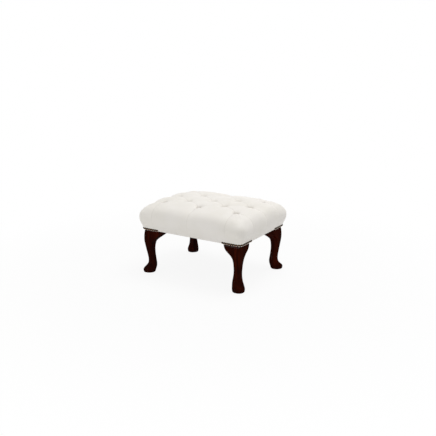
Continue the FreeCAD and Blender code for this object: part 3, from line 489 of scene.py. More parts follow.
@dataclass(frozen=True)
class PlainFinish:
    """A plain even finish with a fine speckle: plating, moulded plastic, foam or thread."""

    name: str
    tint: Colour
    tint_low: Colour
    scale: float
    roughness: float
    depth: float
    metallic: float = 0.0
    speckle_range: tuple[float, float] = (0.3, 0.7)
    roughness_spread: float = 0.15

    def material(self) -> bpy.types.Material:
        """Builds the finish.

        Returns:
            The material.
        """
        tree = NodeTree.of_material(self.name)
        speckle = tree.noise(tree.place(), self.scale, detail=3.0, rough=0.6)
        return tree.finish(
            Base_Color=tree.blend(speckle.between(*self.speckle_range), self.tint_low, self.tint),
            Metallic=self.metallic,
            Roughness=speckle * self.roughness_spread + self.roughness,
            Normal=tree.bump(speckle, self.depth, strength=0.5),
        )


@dataclass(frozen=True)
class DustCloth:
    """Thin black spun cloth, with a grid of small dots pressed into it."""

    dark: Colour = colour(18, 18, 19)
    pale: Colour = colour(46, 46, 48)
    dots_per_metre: float = 600.0
    dot_range: tuple[float, float] = (-0.2, 0.8)
    dot_share: float = 0.6
    fibre_scale: float = 900.0
    fibre_height: float = 0.5
    depth: float = 0.0002
    roughness: float = 0.85
    roughness_spread: float = 0.1

    def material(self) -> bpy.types.Material:
        """Builds the finish. The dots are the product of a sine along x and one along y.

        Returns:
            The material.
        """
        tree = NodeTree.of_material("dust_cloth")
        spot = tree.place()
        axes = [tree.add("ShaderNodeSeparateXYZ", {}, {0: spot}, axis) for axis in ("X", "Y")]
        waves = [(axis * (self.dots_per_metre * math.tau)).math("SINE") for axis in axes]
        dots = (waves[0] * waves[1]).between(*self.dot_range)
        fibre = tree.noise(spot, self.fibre_scale)
        share = dots * self.dot_share + fibre * (1.0 - self.dot_share)
        return tree.finish(
            Base_Color=tree.blend(share, self.dark, self.pale),
            Roughness=fibre * self.roughness_spread + self.roughness,
            Normal=tree.bump(dots + fibre * self.fibre_height, self.depth, strength=0.6),
        )


# Surfaces


def put(name: str, points: np.ndarray, faces: Faces, crease: float = NO_CREASE) -> bpy.types.Object:
    """Makes a mesh object at the origin.

    Args:
        name: The piece's name.
        points: Its vertices in millimetres, one row each.
        faces: Vertex numbers of each face, listed so that they point outwards.
        crease: Edges sharper than this many degrees are shaded as edges.

    Returns:
        The object, linked to the scene.
    """
    mesh = bpy.data.meshes.new(name)
    mesh.from_pydata((points * MM).tolist(), [], faces)
    mesh.shade_smooth()
    if crease < NO_CREASE:
        mesh.set_sharp_from_angle(angle=math.radians(crease))
    mesh.update()
    piece = bpy.data.objects.new(name, mesh)
    bpy.context.scene.collection.objects.link(piece)
    return piece


def store(piece: bpy.types.Object, name: str, values: np.ndarray) -> None:
    """Stores a number on each vertex of a piece, for its finish to read."""
    layer = piece.data.attributes.new(name, "FLOAT", "POINT")
    layer.data.foreach_set("value", values)


def dress(piece: bpy.types.Object, material: bpy.types.Material, node: str) -> None:
    """Gives a new piece its finish and its body, and reports it.

    Args:
        piece: The piece.
        material: Its finish.
        node: The CAD node that it stands for.
    """
    piece.data.materials.append(material)
    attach(piece, "root")
    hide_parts(node)
    triangles = sum(len(face.vertices) - 2 for face in piece.data.polygons)
    log.info("%s: %d triangles", piece.name, triangles)


def at_height(plan: np.ndarray, high: float) -> np.ndarray:
    """Points in plan lifted to one height."""
    return np.column_stack([plan, np.full(len(plan), high)])


def turns(around: int) -> np.ndarray:
    """Angles at even steps round a circle."""
    return np.linspace(0.0, math.tau, around, endpoint=False)


def bell(distance: np.ndarray, spread: float) -> np.ndarray:
    """1 at no distance and less beyond: the exponential of minus the square of distance over spread."""
    return np.exp(-((distance / spread) ** 2))


def smooth_step(share: np.ndarray) -> np.ndarray:
    """0 up to 0, 1 from 1 on, and between them three times the square less twice the cube."""
    share = np.clip(share, 0.0, 1.0)
    return share * share * (3 - 2 * share)


def tube_faces(rings: int, around: int, start: int = 0) -> np.ndarray:
    """Quads between closed rings of points, each ring following the last.

    Args:
        rings: Number of rings.
        around: Number of points in a ring.
        start: Vertex number of the first ring's first point.

    Returns:
        Four vertex numbers for each quad. They point outwards where the rings run anticlockwise, seen against
        the way in which they follow each other.
    """
    ring, place = np.meshgrid(np.arange(rings - 1), np.arange(around), indexing="ij")
    near = start + ring * around + place
    far = start + ring * around + (place + 1) % around
    return np.stack([near, far, far + around, near + around], axis=-1).reshape(-1, 4)


def turned_over(quads: np.ndarray) -> np.ndarray:
    """The same quads pointing the other way, each from the same first corner."""
    return quads[:, [0, 3, 2, 1]]


def fan_faces(ring: np.ndarray, centre: int) -> np.ndarray:
    """Triangles from a closed ring of vertices to one middle vertex."""
    return np.stack([ring, np.roll(ring, -1), np.full_like(ring, centre)], axis=-1)


def capped_faces(rings: int, around: int) -> Faces:
    """Faces of a tube that is closed by a fan at each end.

    Args:
        rings: Number of rings.
        around: Number of points in a ring.

    Returns:
        The faces. The first and the last ring's middle vertices follow the rings' own points, in that order.
    """
    count = rings * around
    first = np.arange(around)
    ends = np.concatenate([fan_faces(first[::-1], count), fan_faces(first + count - around, count + 1)])
    return tube_faces(rings, around).tolist() + ends.tolist()


def vertex_normals(points: np.ndarray, triangles: np.ndarray) -> np.ndarray:
    """Unit normals at the vertices: the sum of the cross products of the triangles round each.

    Args:
        points: The vertices.
        triangles: Vertex numbers of the triangles.

    Returns:
        One normal for each vertex.
    """
    a, b, c = (points[triangles[:, k]] for k in range(3))
    face = np.cross(b - a, c - a)
    total = np.zeros_like(points)
    for k in range(3):
        np.add.at(total, triangles[:, k], face)
    length = np.linalg.norm(total, axis=1, keepdims=True)
    return total / np.maximum(length, 1e-12)


def smooth_curve(heights: np.ndarray, stations: Stations, softness: float, step: float = 0.5) -> np.ndarray:
    """A value at each height, through measured stations and then softened.

    The stations are joined by straight runs on a fine ladder of heights, and a moving average of the given
    softness, run twice, rounds the joints.

    Args:
        heights: Where the value is wanted.
        stations: Pairs of height and value.
        softness: Length of the moving average.
        step: Distance between the ladder's heights.

    Returns:
        One value for each height.
    """
    table = np.array(sorted(stations))
    reach = int(softness / step) // 2
    ladder = np.arange(table[0, 0] - 2 * softness, table[-1, 0] + 2 * softness, step)
    # The end runs go on in line, so that averaging doesn't pull the ends in
    values = np.interp(ladder, table[:, 0], table[:, 1])
    for at, one, two in ((ladder < table[0, 0], 0, 1), (ladder > table[-1, 0], -1, -2)):
        slope = (table[one, 1] - table[two, 1]) / (table[one, 0] - table[two, 0])
        values[at] = table[one, 1] + slope * (ladder[at] - table[one, 0])
    window = np.ones(2 * reach + 1) / (2 * reach + 1)
    for _ in range(2):
        padded = np.pad(values, reach, mode="edge")
        values = np.convolve(padded, window, mode="valid")
    return np.interp(heights, ladder, values)


# Seat


@dataclass
class TuftedSeat:
    """The leather cover with its wadding, its thirteen buttons, and the foam and the twine inside.

    The plain form is a rounded rectangle carried up a side profile, which leans out, swells and rolls over a
    shoulder, and a crown above it. Funnels at the buttons and valleys along the pleats are then pressed into
    it along its normals. Sizes that come in pairs are those along x and y.
    """

    # Side, from the hem up to the rim where the crown begins
    size: tuple[float, float] = SEAT_SIZE
    bottom: float = HEM_HEIGHT
    hem_corner: float = HEM_CORNER
    lean: float = HEM_LEAN
    bulge: float = 75.0
    widest: float = 294.0
    widest_corner: float = 47.0
    shoulder: float = 56.6
    rim_inset: float = 18.0
    rim_corner: float = 40.0

    # Crown and border
    crown_rise: float = 26.5
    crown_reach: tuple[float, float] = (110.0, 125.0)
    crown_softness: float = 4.5
    dish: float = 3.0
    puffs: tuple[float, float] = (6.0, 4.0)
    puff_middle: float = 10.0
    puff_spread: float = 42.0
    corner_ease: float = 5.5
    border_rise: float = 40.0

    # Buttons, each a dome that is given by shares of its radius and heights, and the tufts round them
    button_pitch: tuple[float, float] = (206.8, 129.4)
    button_radius: float = 8.5
    button_height: float = 6.5
    button_base: float = -0.5
    button_profile: Stations = (
        (0.86, -0.5), (1.0, 0.4), (1.02, 1.4), (0.97, 2.6), (0.84, 4.1), (0.62, 5.3), (0.34, 6.1),
    )
    button_waves: int = 7
    button_unevenness: float = 0.012
    tuft_depth: float = 21.0
    tuft_flat: float = 6.5
    tuft_spread: float = 11.0
    tuft_power: float = 1.4
    tuft_bowl: float = 7.5
    bowl_spread: float = 36.0
    pull_spread: float = 30.0

    # Pleats: those to the edge have depths at start, middle and end
    pleat_middle: float = 5.0
    pleat_end: float = 8.0
    pleat_sharpness: float = 0.32
    pleat_crease: float = 5.0
    pleat_spread: float = 26.0
    end_pleat: tuple[float, float, float] = (7.0, 4.0, 0.8)
    side_pleat: tuple[float, float, float] = (8.5, 4.0, 0.6)
    edge_pleat_reach: float = 140.0

    # Small tucks round the buttons: number of waves, share of the depth, and turn from button to button
    gathers_depth: float = 0.55
    gathers_waves: tuple = ((9, 0.6, 0.9), (14, 0.4, -1.8))
    gathers_middle: float = 13.0
    gathers_spread: float = 7.5

    # Tucks over the shoulder at each corner button: angle in degrees and depth, then where they begin and end
    shoulder_tucks: Stations = ((27.0, 0.5), (45.0, 0.9), (63.0, 0.5))
    tucks_spread: float = 4.5
    tucks_start: tuple[float, float] = (14.0, 34.0)
    tucks_end: tuple[float, float] = (150.0, 80.0)

    # Unevenness of the hide: distances along x and y for one radian of each wave, and its start
    slack_depth: float = 0.22
    slack_waves: tuple = ((31.0, 47.0, 0.4), (53.0, -29.0, 2.1), (17.0, math.inf, 1.3))

    # Mesh, and how the form is eased and its folds fade above the hem
    cells: int = 36
    edge_cells: float = 0.85
    side_step: float = 3.0
    button_sides: int = 40
    easing_rounds: int = 14
    easing_share: float = 0.5
    hem_fixed: float = 14.0
    hem_plain: float = 6.0
    hem_fade: float = 40.0

    # Inside: the leather's wall and its folds under the rails, then the hollow for frame and foam
    wall: float = 1.2
    hem_edge: float = 0.3
    fold: float = 20.0
    fold_clear: float = 97.0
    fold_ramp: float = 2.0
    frame_top: float = 290.8
    foam_inset: float = 11.2
    foam_top: float = 336.1
    foam_slope: float = 12.0
    foam_corner: float = 0.4
    foam_crease: float = 30.0
    twine_radius: float = 1.0
    twine_sides: int = 8
    knot_radius: float = 3.0
    knot_heights: tuple[float, float] = (276.5, 279.5)
    twine_crease: float = 50.0

    finish: IvoryLeather = field(default_factory=IvoryLeather)
    foam: PlainFinish = PlainFinish(
        name="foam",
        tint=colour(240, 232, 196),
        tint_low=colour(216, 204, 160),
        scale=800.0,
        roughness=0.85,
        depth=0.0006,
    )
    twine: PlainFinish = PlainFinish(
        name="twine",
        tint=colour(216, 206, 178),
        tint_low=colour(176, 162, 130),
        scale=900.0,
        roughness=0.6,
        depth=0.0002,
    )

    @property
    def half(self) -> np.ndarray:
        """Half the seat's size at the hem."""
        return np.array(self.size) / 2

    @property
    def rim_half(self) -> np.ndarray:
        """Half the top's size at the rim."""
        return self.half - self.rim_inset

    @property
    def pitch(self) -> np.ndarray:
        """Distances between the nine buttons of the grid."""
        return np.array(self.button_pitch)

    @property
    def swell(self) -> float:
        """How far the widest point stands out beyond the apron's lower edge."""
        straight = (self.widest - self.bottom) - self.bulge * math.sin(self.lean)
        return self.bulge * (1 - math.cos(self.lean)) + straight * math.tan(self.lean)

    @property
    def rim_angle(self) -> float:
        """Angle of the shoulder's arc at which the crown begins."""
        return math.acos((self.shoulder - self.swell - self.rim_inset) / self.shoulder)

    @property
    def rim_height(self) -> float:
        """Height at which the crown begins."""
        return self.widest + self.shoulder * math.sin(self.rim_angle)

    def profile(self) -> tuple[np.ndarray, np.ndarray, np.ndarray]:
        """The side from the rim down to the hem, at even steps.

        An arc of the shoulder's radius turns into an arc of the bulge's radius, and that into a straight
        lean down to the hem.

        Returns:
            Distance along the profile, offset outwards from the apron's lower edge, and height.
        """
        shoulder_run, bulge_run = self.shoulder * self.rim_angle, self.bulge * self.lean
        straight = (self.widest - self.bottom - self.bulge * math.sin(self.lean)) / math.cos(self.lean)
        total = shoulder_run + bulge_run + straight
        run = np.linspace(0.0, total, int(total / self.side_step) + 1)
        above = run < shoulder_run
        angle = np.where(above, self.rim_angle - run / self.shoulder, (shoulder_run - run) / self.bulge)
        radius = np.where(above, self.shoulder, self.bulge)
        out = self.swell - radius * (1 - np.cos(angle))
        high = self.widest + radius * np.sin(angle)
        last = run - shoulder_run - bulge_run
        end_out = self.swell - self.bulge * (1 - math.cos(self.lean))
        end_high = self.widest - self.bulge * math.sin(self.lean)
        out = np.where(last > 0, end_out - last * math.sin(self.lean), out)
        high = np.where(last > 0, end_high - last * math.cos(self.lean), high)
        return run, out, high

    def corner_radius(self, high: float) -> float:
        """Radius of the side's corners, changing evenly from the hem to the widest line and on to the rim."""
        heights = (self.bottom, self.widest, self.rim_height)
        return float(np.interp(high, heights, (self.hem_corner, self.widest_corner, self.rim_corner)))

    def lines(self, edge: float, pitch: float) -> np.ndarray:
        """Grid lines along one axis: even cells between the buttons, and cells of like size beyond.

        Args:
            edge: Where the last line lies.
            pitch: Where the outer buttons lie.

        Returns:
            The lines' places, from minus the edge to the edge.
        """
        middle = np.linspace(-pitch, pitch, 4 * self.cells + 1)
        count = round((edge - pitch) / (pitch / (2 * self.cells)) * self.edge_cells)
        outer = np.linspace(pitch, edge, count + 1)[1:]
        return np.concatenate([-outer[::-1], middle, outer])

    def crown_height(self, plan: np.ndarray) -> np.ndarray:
        """Height of the top before the tufts are pressed in.

        It is the rim's height and the soft lesser of two quarter sines, one of the distance in from each pair
        of sides, less a shallow dish, the fourth power of the product of the two sines.

        Args:
            plan: Places in plan, with x and y along the last axis.

        Returns:
            One height for each place.
        """
        inwards = (self.rim_half - np.abs(plan)) / self.crown_reach
        share = np.sin(np.pi / 2 * np.clip(inwards, 0.0, 1.0))
        power = -self.crown_softness
        # The smallest shares are held at a thousandth, so that their powers stay finite
        least = (np.maximum(share, 1e-3) ** power).sum(axis=-1) ** (1 / power)
        least = np.where(share.min(axis=-1) > TOUCHING, least, 0.0)
        return self.rim_height + self.crown_rise * least - self.dish * share.prod(axis=-1) ** 4

    def crown(self) -> tuple[np.ndarray, np.ndarray]:
        """The top as a grid of points.

        Its plan is a rectangle whose corner squares are mapped to quarter discs, x times the root of 1 less
        half of y squared.

        Returns:
            The points, whose plan is also their place on the leather laid flat, and the grid's numbers.
        """
        (half_x, half_y), corner = self.rim_half, self.rim_corner
        lines = [self.lines(edge, pitch) for edge, pitch in zip(self.rim_half, self.pitch)]
        x, y = np.meshgrid(*lines, indexing="ij")
        high = self.crown_height(np.stack([x, y], axis=-1))
        p = (np.abs(x) - half_x + corner) / corner
        q = (np.abs(y) - half_y + corner) / corner
        in_corner = (p > 0) & (q > 0)
        round_p = p * np.sqrt(np.clip(1 - q**2 / 2, 0.0, 1.0))
        round_q = q * np.sqrt(np.clip(1 - p**2 / 2, 0.0, 1.0))
        plan_x = np.where(in_corner, np.sign(x) * (half_x - corner + round_p * corner), x)
        plan_y = np.where(in_corner, np.sign(y) * (half_y - corner + round_q * corner), y)
        points = np.stack([plan_x, plan_y, high], axis=-1).reshape(-1, 3)
        return points, np.arange(x.size).reshape(x.shape)

    def crown_faces(self, points: np.ndarray, numbers: np.ndarray) -> np.ndarray:
        """Triangles of the top, each cell split along the direction in which the pleats near it run.

        Args:
            points: The top's points.
            numbers: The grid's vertex numbers.

        Returns:
            Three vertex numbers for each triangle.
        """
        near, right = numbers[:-1, :-1], numbers[1:, :-1]
        far, left = numbers[1:, 1:], numbers[:-1, 1:]
        middle = ((points[near] + points[far]) / 2)[..., :2]
        diamond = np.floor(middle / (self.pitch / 2)).astype(int)
        rising = diamond.sum(axis=-1) % 2 == 0
        outside = (np.abs(middle) > self.pitch).any(axis=-1)
        rising = np.where(outside, middle.prod(axis=-1) > 0, rising)[..., None]
        first = np.where(rising, np.stack([near, right, far], -1), np.stack([near, right, left], -1))
        second = np.where(rising, np.stack([near, far, left], -1), np.stack([right, far, left], -1))
        return np.concatenate([first.reshape(-1, 3), second.reshape(-1, 3)])

    def rim_numbers(self, numbers: np.ndarray) -> np.ndarray:
        """Vertex numbers round the top's edge, anticlockwise from above."""
        return np.concatenate([numbers[:-1, 0], numbers[-1, :-1], numbers[:0:-1, -1], numbers[0, :0:-1]])

    def rim_ways(self, rim: np.ndarray) -> tuple[np.ndarray, np.ndarray, np.ndarray]:
        """Which of the rim's points lie on its corners' arcs and which on its straight edges.

        Args:
            rim: The rim's points.

        Returns:
            Whether a point is on an arc, whether its x and its y are at the edge, and its arc's unit vector.
        """
        from_corner = np.abs(rim[:, :2]) - (self.rim_half - self.rim_corner)
        on_arc = (from_corner > TOUCHING).all(axis=1, keepdims=True)
        at_edge = from_corner > self.rim_corner - TOUCHING
        angle = np.arctan2(from_corner[:, 1], from_corner[:, 0])
        return on_arc, at_edge, np.stack([np.cos(angle), np.sin(angle)], axis=-1)

    def contour(self, rim: np.ndarray, out: float | np.ndarray, corner: float) -> np.ndarray:
        """One level line round the side, point for point under the rim.

        A point above a straight run keeps its place as far as the last pleat and spreads out beyond it, and a
        point above a corner keeps its angle.

        Args:
            rim: The rim's points.
            out: Offset outwards from the apron's lower edge, for all points or for each.
            corner: Radius of the corners at this level.

        Returns:
            The x and y of each point.
        """
        on_arc, at_edge, way = self.rim_ways(rim)
        straight = self.half + out - corner
        away = np.abs(rim[:, :2])
        stretch = (straight - self.pitch) / (self.rim_half - self.rim_corner - self.pitch)
        spread = np.minimum(away, self.pitch) + np.maximum(away - self.pitch, 0.0) * stretch
        runs = np.where(at_edge, self.half + out, spread)
        return np.sign(rim[:, :2]) * np.where(on_arc, straight + corner * way, runs)

    def laid_flat(
        self, rim: np.ndarray, plan: np.ndarray, run: float, out: float, corner: float
    ) -> np.ndarray:
        """A level line's places on the leather laid flat.

        A point of a straight run goes out by its distance from the rim, and a point of a corner goes as far
        along its own angle.

        Args:
            rim: The rim's points.
            plan: The line's own points in plan.
            run: Distance along the leather from the rim.
            out: The line's offset outwards from the apron's lower edge.
            corner: Radius of its corners.

        Returns:
            The places.
        """
        on_arc, at_edge, way = self.rim_ways(rim)
        radius = run - self.rim_inset - out + corner
        runs = np.where(at_edge, self.rim_half + run, np.abs(plan))
        return np.sign(rim[:, :2]) * np.where(on_arc, self.half + out - corner + radius * way, runs)

    def side(self, rim: np.ndarray) -> tuple[np.ndarray, np.ndarray]:
        """The side below the rim, line by line down to the hem.

        Args:
            rim: The rim's points.

        Returns:
            The points, and their places on the leather laid flat.
        """
        rings, flats = [], []
        for run, out, high in list(zip(*self.profile()))[1:]:
            corner = self.corner_radius(high)
            plan = self.contour(rim, out, corner)
            rings.append(at_height(plan, high))
            flats.append(self.laid_flat(rim, plan, run, out, corner))
        return np.concatenate(rings), np.concatenate(flats)

    def lining(self, rim: np.ndarray) -> np.ndarray:
        """Rings from the hem inwards: under the rail, back along the fold, and up inside to the foam's top.

        Args:
            rim: The rim's points.

        Returns:
            The points, ring after ring, each of them point for point under the rim.
        """
        hem = self.contour(rim, 0.0, self.hem_corner)
        in_fold = np.clip((self.half - self.fold_clear - np.abs(hem)) / self.fold_ramp, 0.0, 1.0)
        least = self.wall + self.hem_edge
        deep = least + (self.fold - least) * in_fold.max(axis=1, keepdims=True)
        levels = [
            (self.hem_edge, self.hem_corner - self.hem_edge, self.bottom),
            (deep, self.hem_corner - least, self.bottom),
            (deep, self.hem_corner - least, self.bottom + self.wall),
            (self.wall, self.hem_corner - self.wall, self.bottom + self.wall),
            (self.wall, self.hem_corner - self.wall, self.frame_top),
            (self.foam_inset, self.foam_corner, self.frame_top),
            (self.foam_inset + self.foam_slope, self.foam_corner, self.foam_top),
        ]
        rings = [at_height(self.contour(rim, -inset, corner), high) for inset, corner, high in levels]
        return np.concatenate(rings)

    def buttons(self) -> np.ndarray:
        """Plan of the buttons.

        Returns:
            Nine places on a grid, and four between them.
        """
        nine = [(i, j) for j in (-1, 0, 1) for i in (-1, 0, 1)]
        four = [(i, j) for j in (-0.5, 0.5) for i in (-0.5, 0.5)]
        return np.array(nine + four) * self.pitch

    def button_floors(self) -> np.ndarray:
        """Heights of the tufts' floors, on which the buttons lie."""
        return self.crown_height(self.buttons()) - self.tuft_depth

    def pleats(self) -> tuple[np.ndarray, np.ndarray, np.ndarray]:
        """The pleats on the leather laid flat: four from each middle button, and one from each outer one.

        Returns:
            Their starts, their ends, and their depths at start, middle and end.
        """
        starts, ends, depths = [], [], []
        diagonals = ((-1, -1), (-1, 1), (1, -1), (1, 1))
        for middle in diagonals:
            for way in diagonals:
                starts.append(self.pitch / 2 * middle)
                ends.append(self.pitch / 2 * (np.array(middle) + way))
                depths.append((self.pleat_end, self.pleat_middle, self.pleat_end))
        (x, y), (edge_x, edge_y) = self.pitch, self.rim_half + self.edge_pleat_reach
        for side in (-1, 1):
            for line in (-1, 0, 1):
                starts += [(side * x, line * y), (line * x, side * y)]
                ends += [(side * edge_x, line * y), (line * x, side * edge_y)]
                depths += [self.end_pleat, self.side_pleat]
        return np.array(starts), np.array(ends), np.array(depths)

    def pressed(self, flat: np.ndarray) -> tuple[np.ndarray, dict[str, np.ndarray]]:
        """How deep the leather is drawn in.

        A funnel falls off as the exponential of a power of the distance from its flat floor, inside a wide
        shallow bell. A valley is a sharp exponential and a broad bell of the distance from its pleat, times a
        depth that is a parabola along the pleat. All are joined by the fourth root of the sum of their fourth
        powers.

        Args:
            flat: Places on the leather laid flat.

        Returns:
            Depths, and the marks for the finish: signed distances to the nearest pleat, its strength and
            distances to the nearest button.
        """
        to_button = np.linalg.norm(flat[:, None] - self.buttons(), axis=2)
        beyond = np.maximum(to_button - self.tuft_flat, 0.0)
        narrow = np.exp(-((beyond / self.tuft_spread) ** self.tuft_power))
        wide = bell(to_button, self.bowl_spread)
        funnels = (self.tuft_depth - self.tuft_bowl) * narrow + self.tuft_bowl * wide
        starts, ends, depths = self.pleats()
        runs = ends - starts
        length = np.linalg.norm(runs, axis=1)
        ahead = runs / length[:, None]
        gap = flat[:, None] - starts
        share = np.clip((gap * ahead).sum(axis=2) / length, 0.0, 1.0)
        away = np.linalg.norm(gap - share[..., None] * runs, axis=2)
        signed = gap[..., 0] * ahead[:, 1] - gap[..., 1] * ahead[:, 0]
        first, middle, last = depths.T
        depth = first * (1 - share) * (1 - 2 * share) + 4 * middle * share * (1 - share)
        depth = np.maximum(depth + last * share * (2 * share - 1), 0.0)
        sharp, broad = np.exp(-away / self.pleat_crease), bell(away, self.pleat_spread)
        valleys = depth * (self.pleat_sharpness * sharp + (1 - self.pleat_sharpness) * broad)
        total = (funnels**4).sum(axis=1) + (valleys**4).sum(axis=1)
        nearest = (np.arange(len(flat)), away.argmin(axis=1))
        marks = {
            "pleat": np.sign(signed[nearest]) * away[nearest],
            "fold": np.clip(depth[nearest] / self.pleat_end, 0.0, 1.0),
            "button": to_button.min(axis=1),
        }
        return total**0.25, marks

    def gathers(self, flat: np.ndarray, button_gap: np.ndarray) -> np.ndarray:
        """Depth of the small tucks out from each button: cosines of the angle round it, under a bell.

        Args:
            flat: Places on the leather laid flat.
            button_gap: Their distances to the nearest button.

        Returns:
            One depth for each place.
        """
        centres = self.buttons()
        nearest = np.linalg.norm(flat[:, None] - centres, axis=2).argmin(axis=1)
        way = flat - centres[nearest]
        angle = np.arctan2(way[:, 1], way[:, 0])
        waves = 0.0
        for count, share, turn in self.gathers_waves:
            waves = waves + share * np.cos(count * angle + turn * nearest)
        return self.gathers_depth * waves * bell(button_gap - self.gathers_middle, self.gathers_spread)

    def corner_tucks(self, points: np.ndarray) -> np.ndarray:
        """Depth of the shallow tucks that fan out from each corner button over the shoulder.

        Each is a bell of the distance across it, times a ramp up from its start and one down to its end.

        Args:
            points: Points of the form.

        Returns:
            One depth for each point.
        """
        way = np.abs(points[:, :2]) - self.pitch
        reach = np.linalg.norm(way, axis=1)
        angle = np.degrees(np.arctan2(way[:, 1], way[:, 0]))
        along = 1.0
        for none, full in (self.tucks_start, self.tucks_end):
            along = along * np.clip((reach - none) / (full - none), 0.0, 1.0)
        total = 0.0
        for middle, most in self.shoulder_tucks:
            total = total + most * bell(np.radians(angle - middle) * reach, self.tucks_spread)
        return total * along

    def border(self, points: np.ndarray) -> np.ndarray:
        """How far the border is drawn in at the corners, less how far it puffs out between the edge pleats.

        The puffs are a sine between one edge pleat and the next, under a bell of the distance from the rim.
        The corners' ease is the product of two smooth steps outwards from the outer buttons. Both end at the
        widest line.

        Args:
            points: Points of the form.

        Returns:
            One depth for each point.
        """
        plan = np.abs(points[:, :2])
        steps = smooth_step((plan - self.pitch) / (self.rim_half - self.pitch))
        total = self.corner_ease * steps.prod(axis=1)
        for side, puff in enumerate(self.puffs):
            from_rim = plan[:, side] - self.rim_half[side]
            along = np.clip(plan[:, 1 - side] / self.pitch[1 - side], 0.0, 1.0)
            total -= puff * np.sin(np.pi * along) * bell(from_rim - self.puff_middle, self.puff_spread)
        return total * smooth_step((points[:, 2] - self.widest) / self.border_rise)

    def slack(self, flat: np.ndarray) -> np.ndarray:
        """Depth of the hide's faint unevenness: a few long sine waves added together.

        Args:
            flat: Places on the leather laid flat.

        Returns:
            One depth for each place.
        """
        u, v = flat[:, 0], flat[:, 1]
        waves = [np.sin(u / along + v / across + start) for along, across, start in self.slack_waves]
        return self.slack_depth * sum(waves)

    def eased(self, form: np.ndarray, quads: np.ndarray, top_faces: np.ndarray) -> np.ndarray:
        """The form with its bends eased: each point moved a few times towards the mean of its neighbours.

        Args:
            form: Points of the top and the side.
            quads: Faces of the side.
            top_faces: Faces of the top.

        Returns:
            The moved points. Those near the hem stay.
        """
        pairs = [quads[:, [k, (k + 1) % 4]] for k in range(4)]
        pairs += [top_faces[:, [k, (k + 1) % 3]] for k in range(3)]
        links = np.concatenate(pairs)
        counts = np.bincount(links.reshape(-1), minlength=len(form))[:, None]
        fixed = form[:, 2:] < self.bottom + self.hem_fixed
        points = form
        for _ in range(self.easing_rounds):
            total = np.zeros_like(points)
            np.add.at(total, links[:, 0], points[links[:, 1]])
            np.add.at(total, links[:, 1], points[links[:, 0]])
            moved = points + self.easing_share * (total / counts - points)
            points = np.where(fixed, points, moved)
        return points

    def drawn_in(
        self, form: np.ndarray, flat: np.ndarray, triangles: np.ndarray
    ) -> tuple[np.ndarray, dict[str, np.ndarray]]:
        """Draws tufts, pleats and tucks into the form, along its normals or straight down near a button.

        Args:
            form: Points of the top and the side.
            flat: Their places on the leather laid flat.
            triangles: The form's faces as triangles.

        Returns:
            The moved points, and the marks for the finish.
        """
        depth, marks = self.pressed(flat)
        fade = np.clip((form[:, 2] - self.bottom - self.hem_plain) / self.hem_fade, 0.0, 1.0)
        depth = (depth + self.corner_tucks(form) + self.slack(flat)) * fade
        depth += self.gathers(flat, marks["button"]) + self.border(form)
        pull = bell(marks["button"], self.pull_spread)[:, None]
        way = vertex_normals(form, triangles) * (1 - pull) + np.array([0.0, 0.0, 1.0]) * pull
        way /= np.linalg.norm(way, axis=1, keepdims=True)
        return form - way * depth[:, None], marks

    def cover(self) -> bpy.types.Object:
        """The cover as one closed skin: crown, sides, hem, the folds under the rails and the hollow inside.

        Returns:
            The piece, with the marks for its finish.
        """
        top, numbers = self.crown()
        rim_ids = self.rim_numbers(numbers)
        rim, around = top[rim_ids], len(rim_ids)
        side, side_flat = self.side(rim)
        form, flat = np.concatenate([top, side]), np.concatenate([top[:, :2], side_flat])
        first_line = len(top) + np.arange(around)
        band = np.stack([rim_ids, first_line, np.roll(first_line, -1), np.roll(rim_ids, -1)], axis=-1)
        quads = np.concatenate([band, turned_over(tube_faces(len(side) // around, around, len(top)))])
        top_faces = self.crown_faces(top, numbers)
        triangles = np.concatenate([top_faces, quads[:, [0, 1, 2]], quads[:, [0, 2, 3]]])
        # Each point is eased along its own normal alone, so that the pleats stay straight
        normals = vertex_normals(form, triangles)
        way = self.eased(form, quads, top_faces) - form
        form = form + normals * (way * normals).sum(axis=1, keepdims=True)
        outer, marks = self.drawn_in(form, flat, triangles)
        lining = self.lining(rim)
        points = np.concatenate([outer, lining, [[0.0, 0.0, self.foam_top]]])
        inner = turned_over(tube_faces(len(lining) // around + 1, around, len(outer) - around))
        last = len(points) - 1
        cap = fan_faces(np.arange(last - around, last)[::-1], last)
        faces = [face for part in (top_faces, quads, inner, cap) for face in part.tolist()]
        piece = put("leather_cover", points, faces)
        scales = {"pleat": MM, "fold": 1.0, "button": MM}
        for name, values in marks.items():
            store(piece, name, np.concatenate([values * scales[name], np.ones(len(points) - len(outer))]))
        return piece

    def button_pieces(self) -> list[bpy.types.Object]:
        """Thirteen covered buttons: each a dome over a short edge, slightly uneven like stretched hide.

        Returns:
            The pieces, in the order of their numbers.
        """
        turn = turns(self.button_sides)
        shares, highs = np.array(self.button_profile).T[:, :, None]
        faces = capped_faces(len(shares), self.button_sides)
        pieces = []
        for number, ((x, y), floor) in enumerate(zip(self.buttons(), self.button_floors()), start=1):
            uneven = 1.0 + self.button_unevenness * np.cos(self.button_waves * turn + number)
            reach = self.button_radius * shares * uneven
            high = np.broadcast_to(floor + highs, reach.shape)
            rings = np.stack([x + reach * np.cos(turn), y + reach * np.sin(turn), high], axis=-1)
            middles = [[x, y, floor + self.button_base], [x, y, floor + self.button_height]]
            points = np.concatenate([rings.reshape(-1, 3), middles])
            pieces.append(put(f"cover_button_{number:02d}", points, faces))
        return pieces

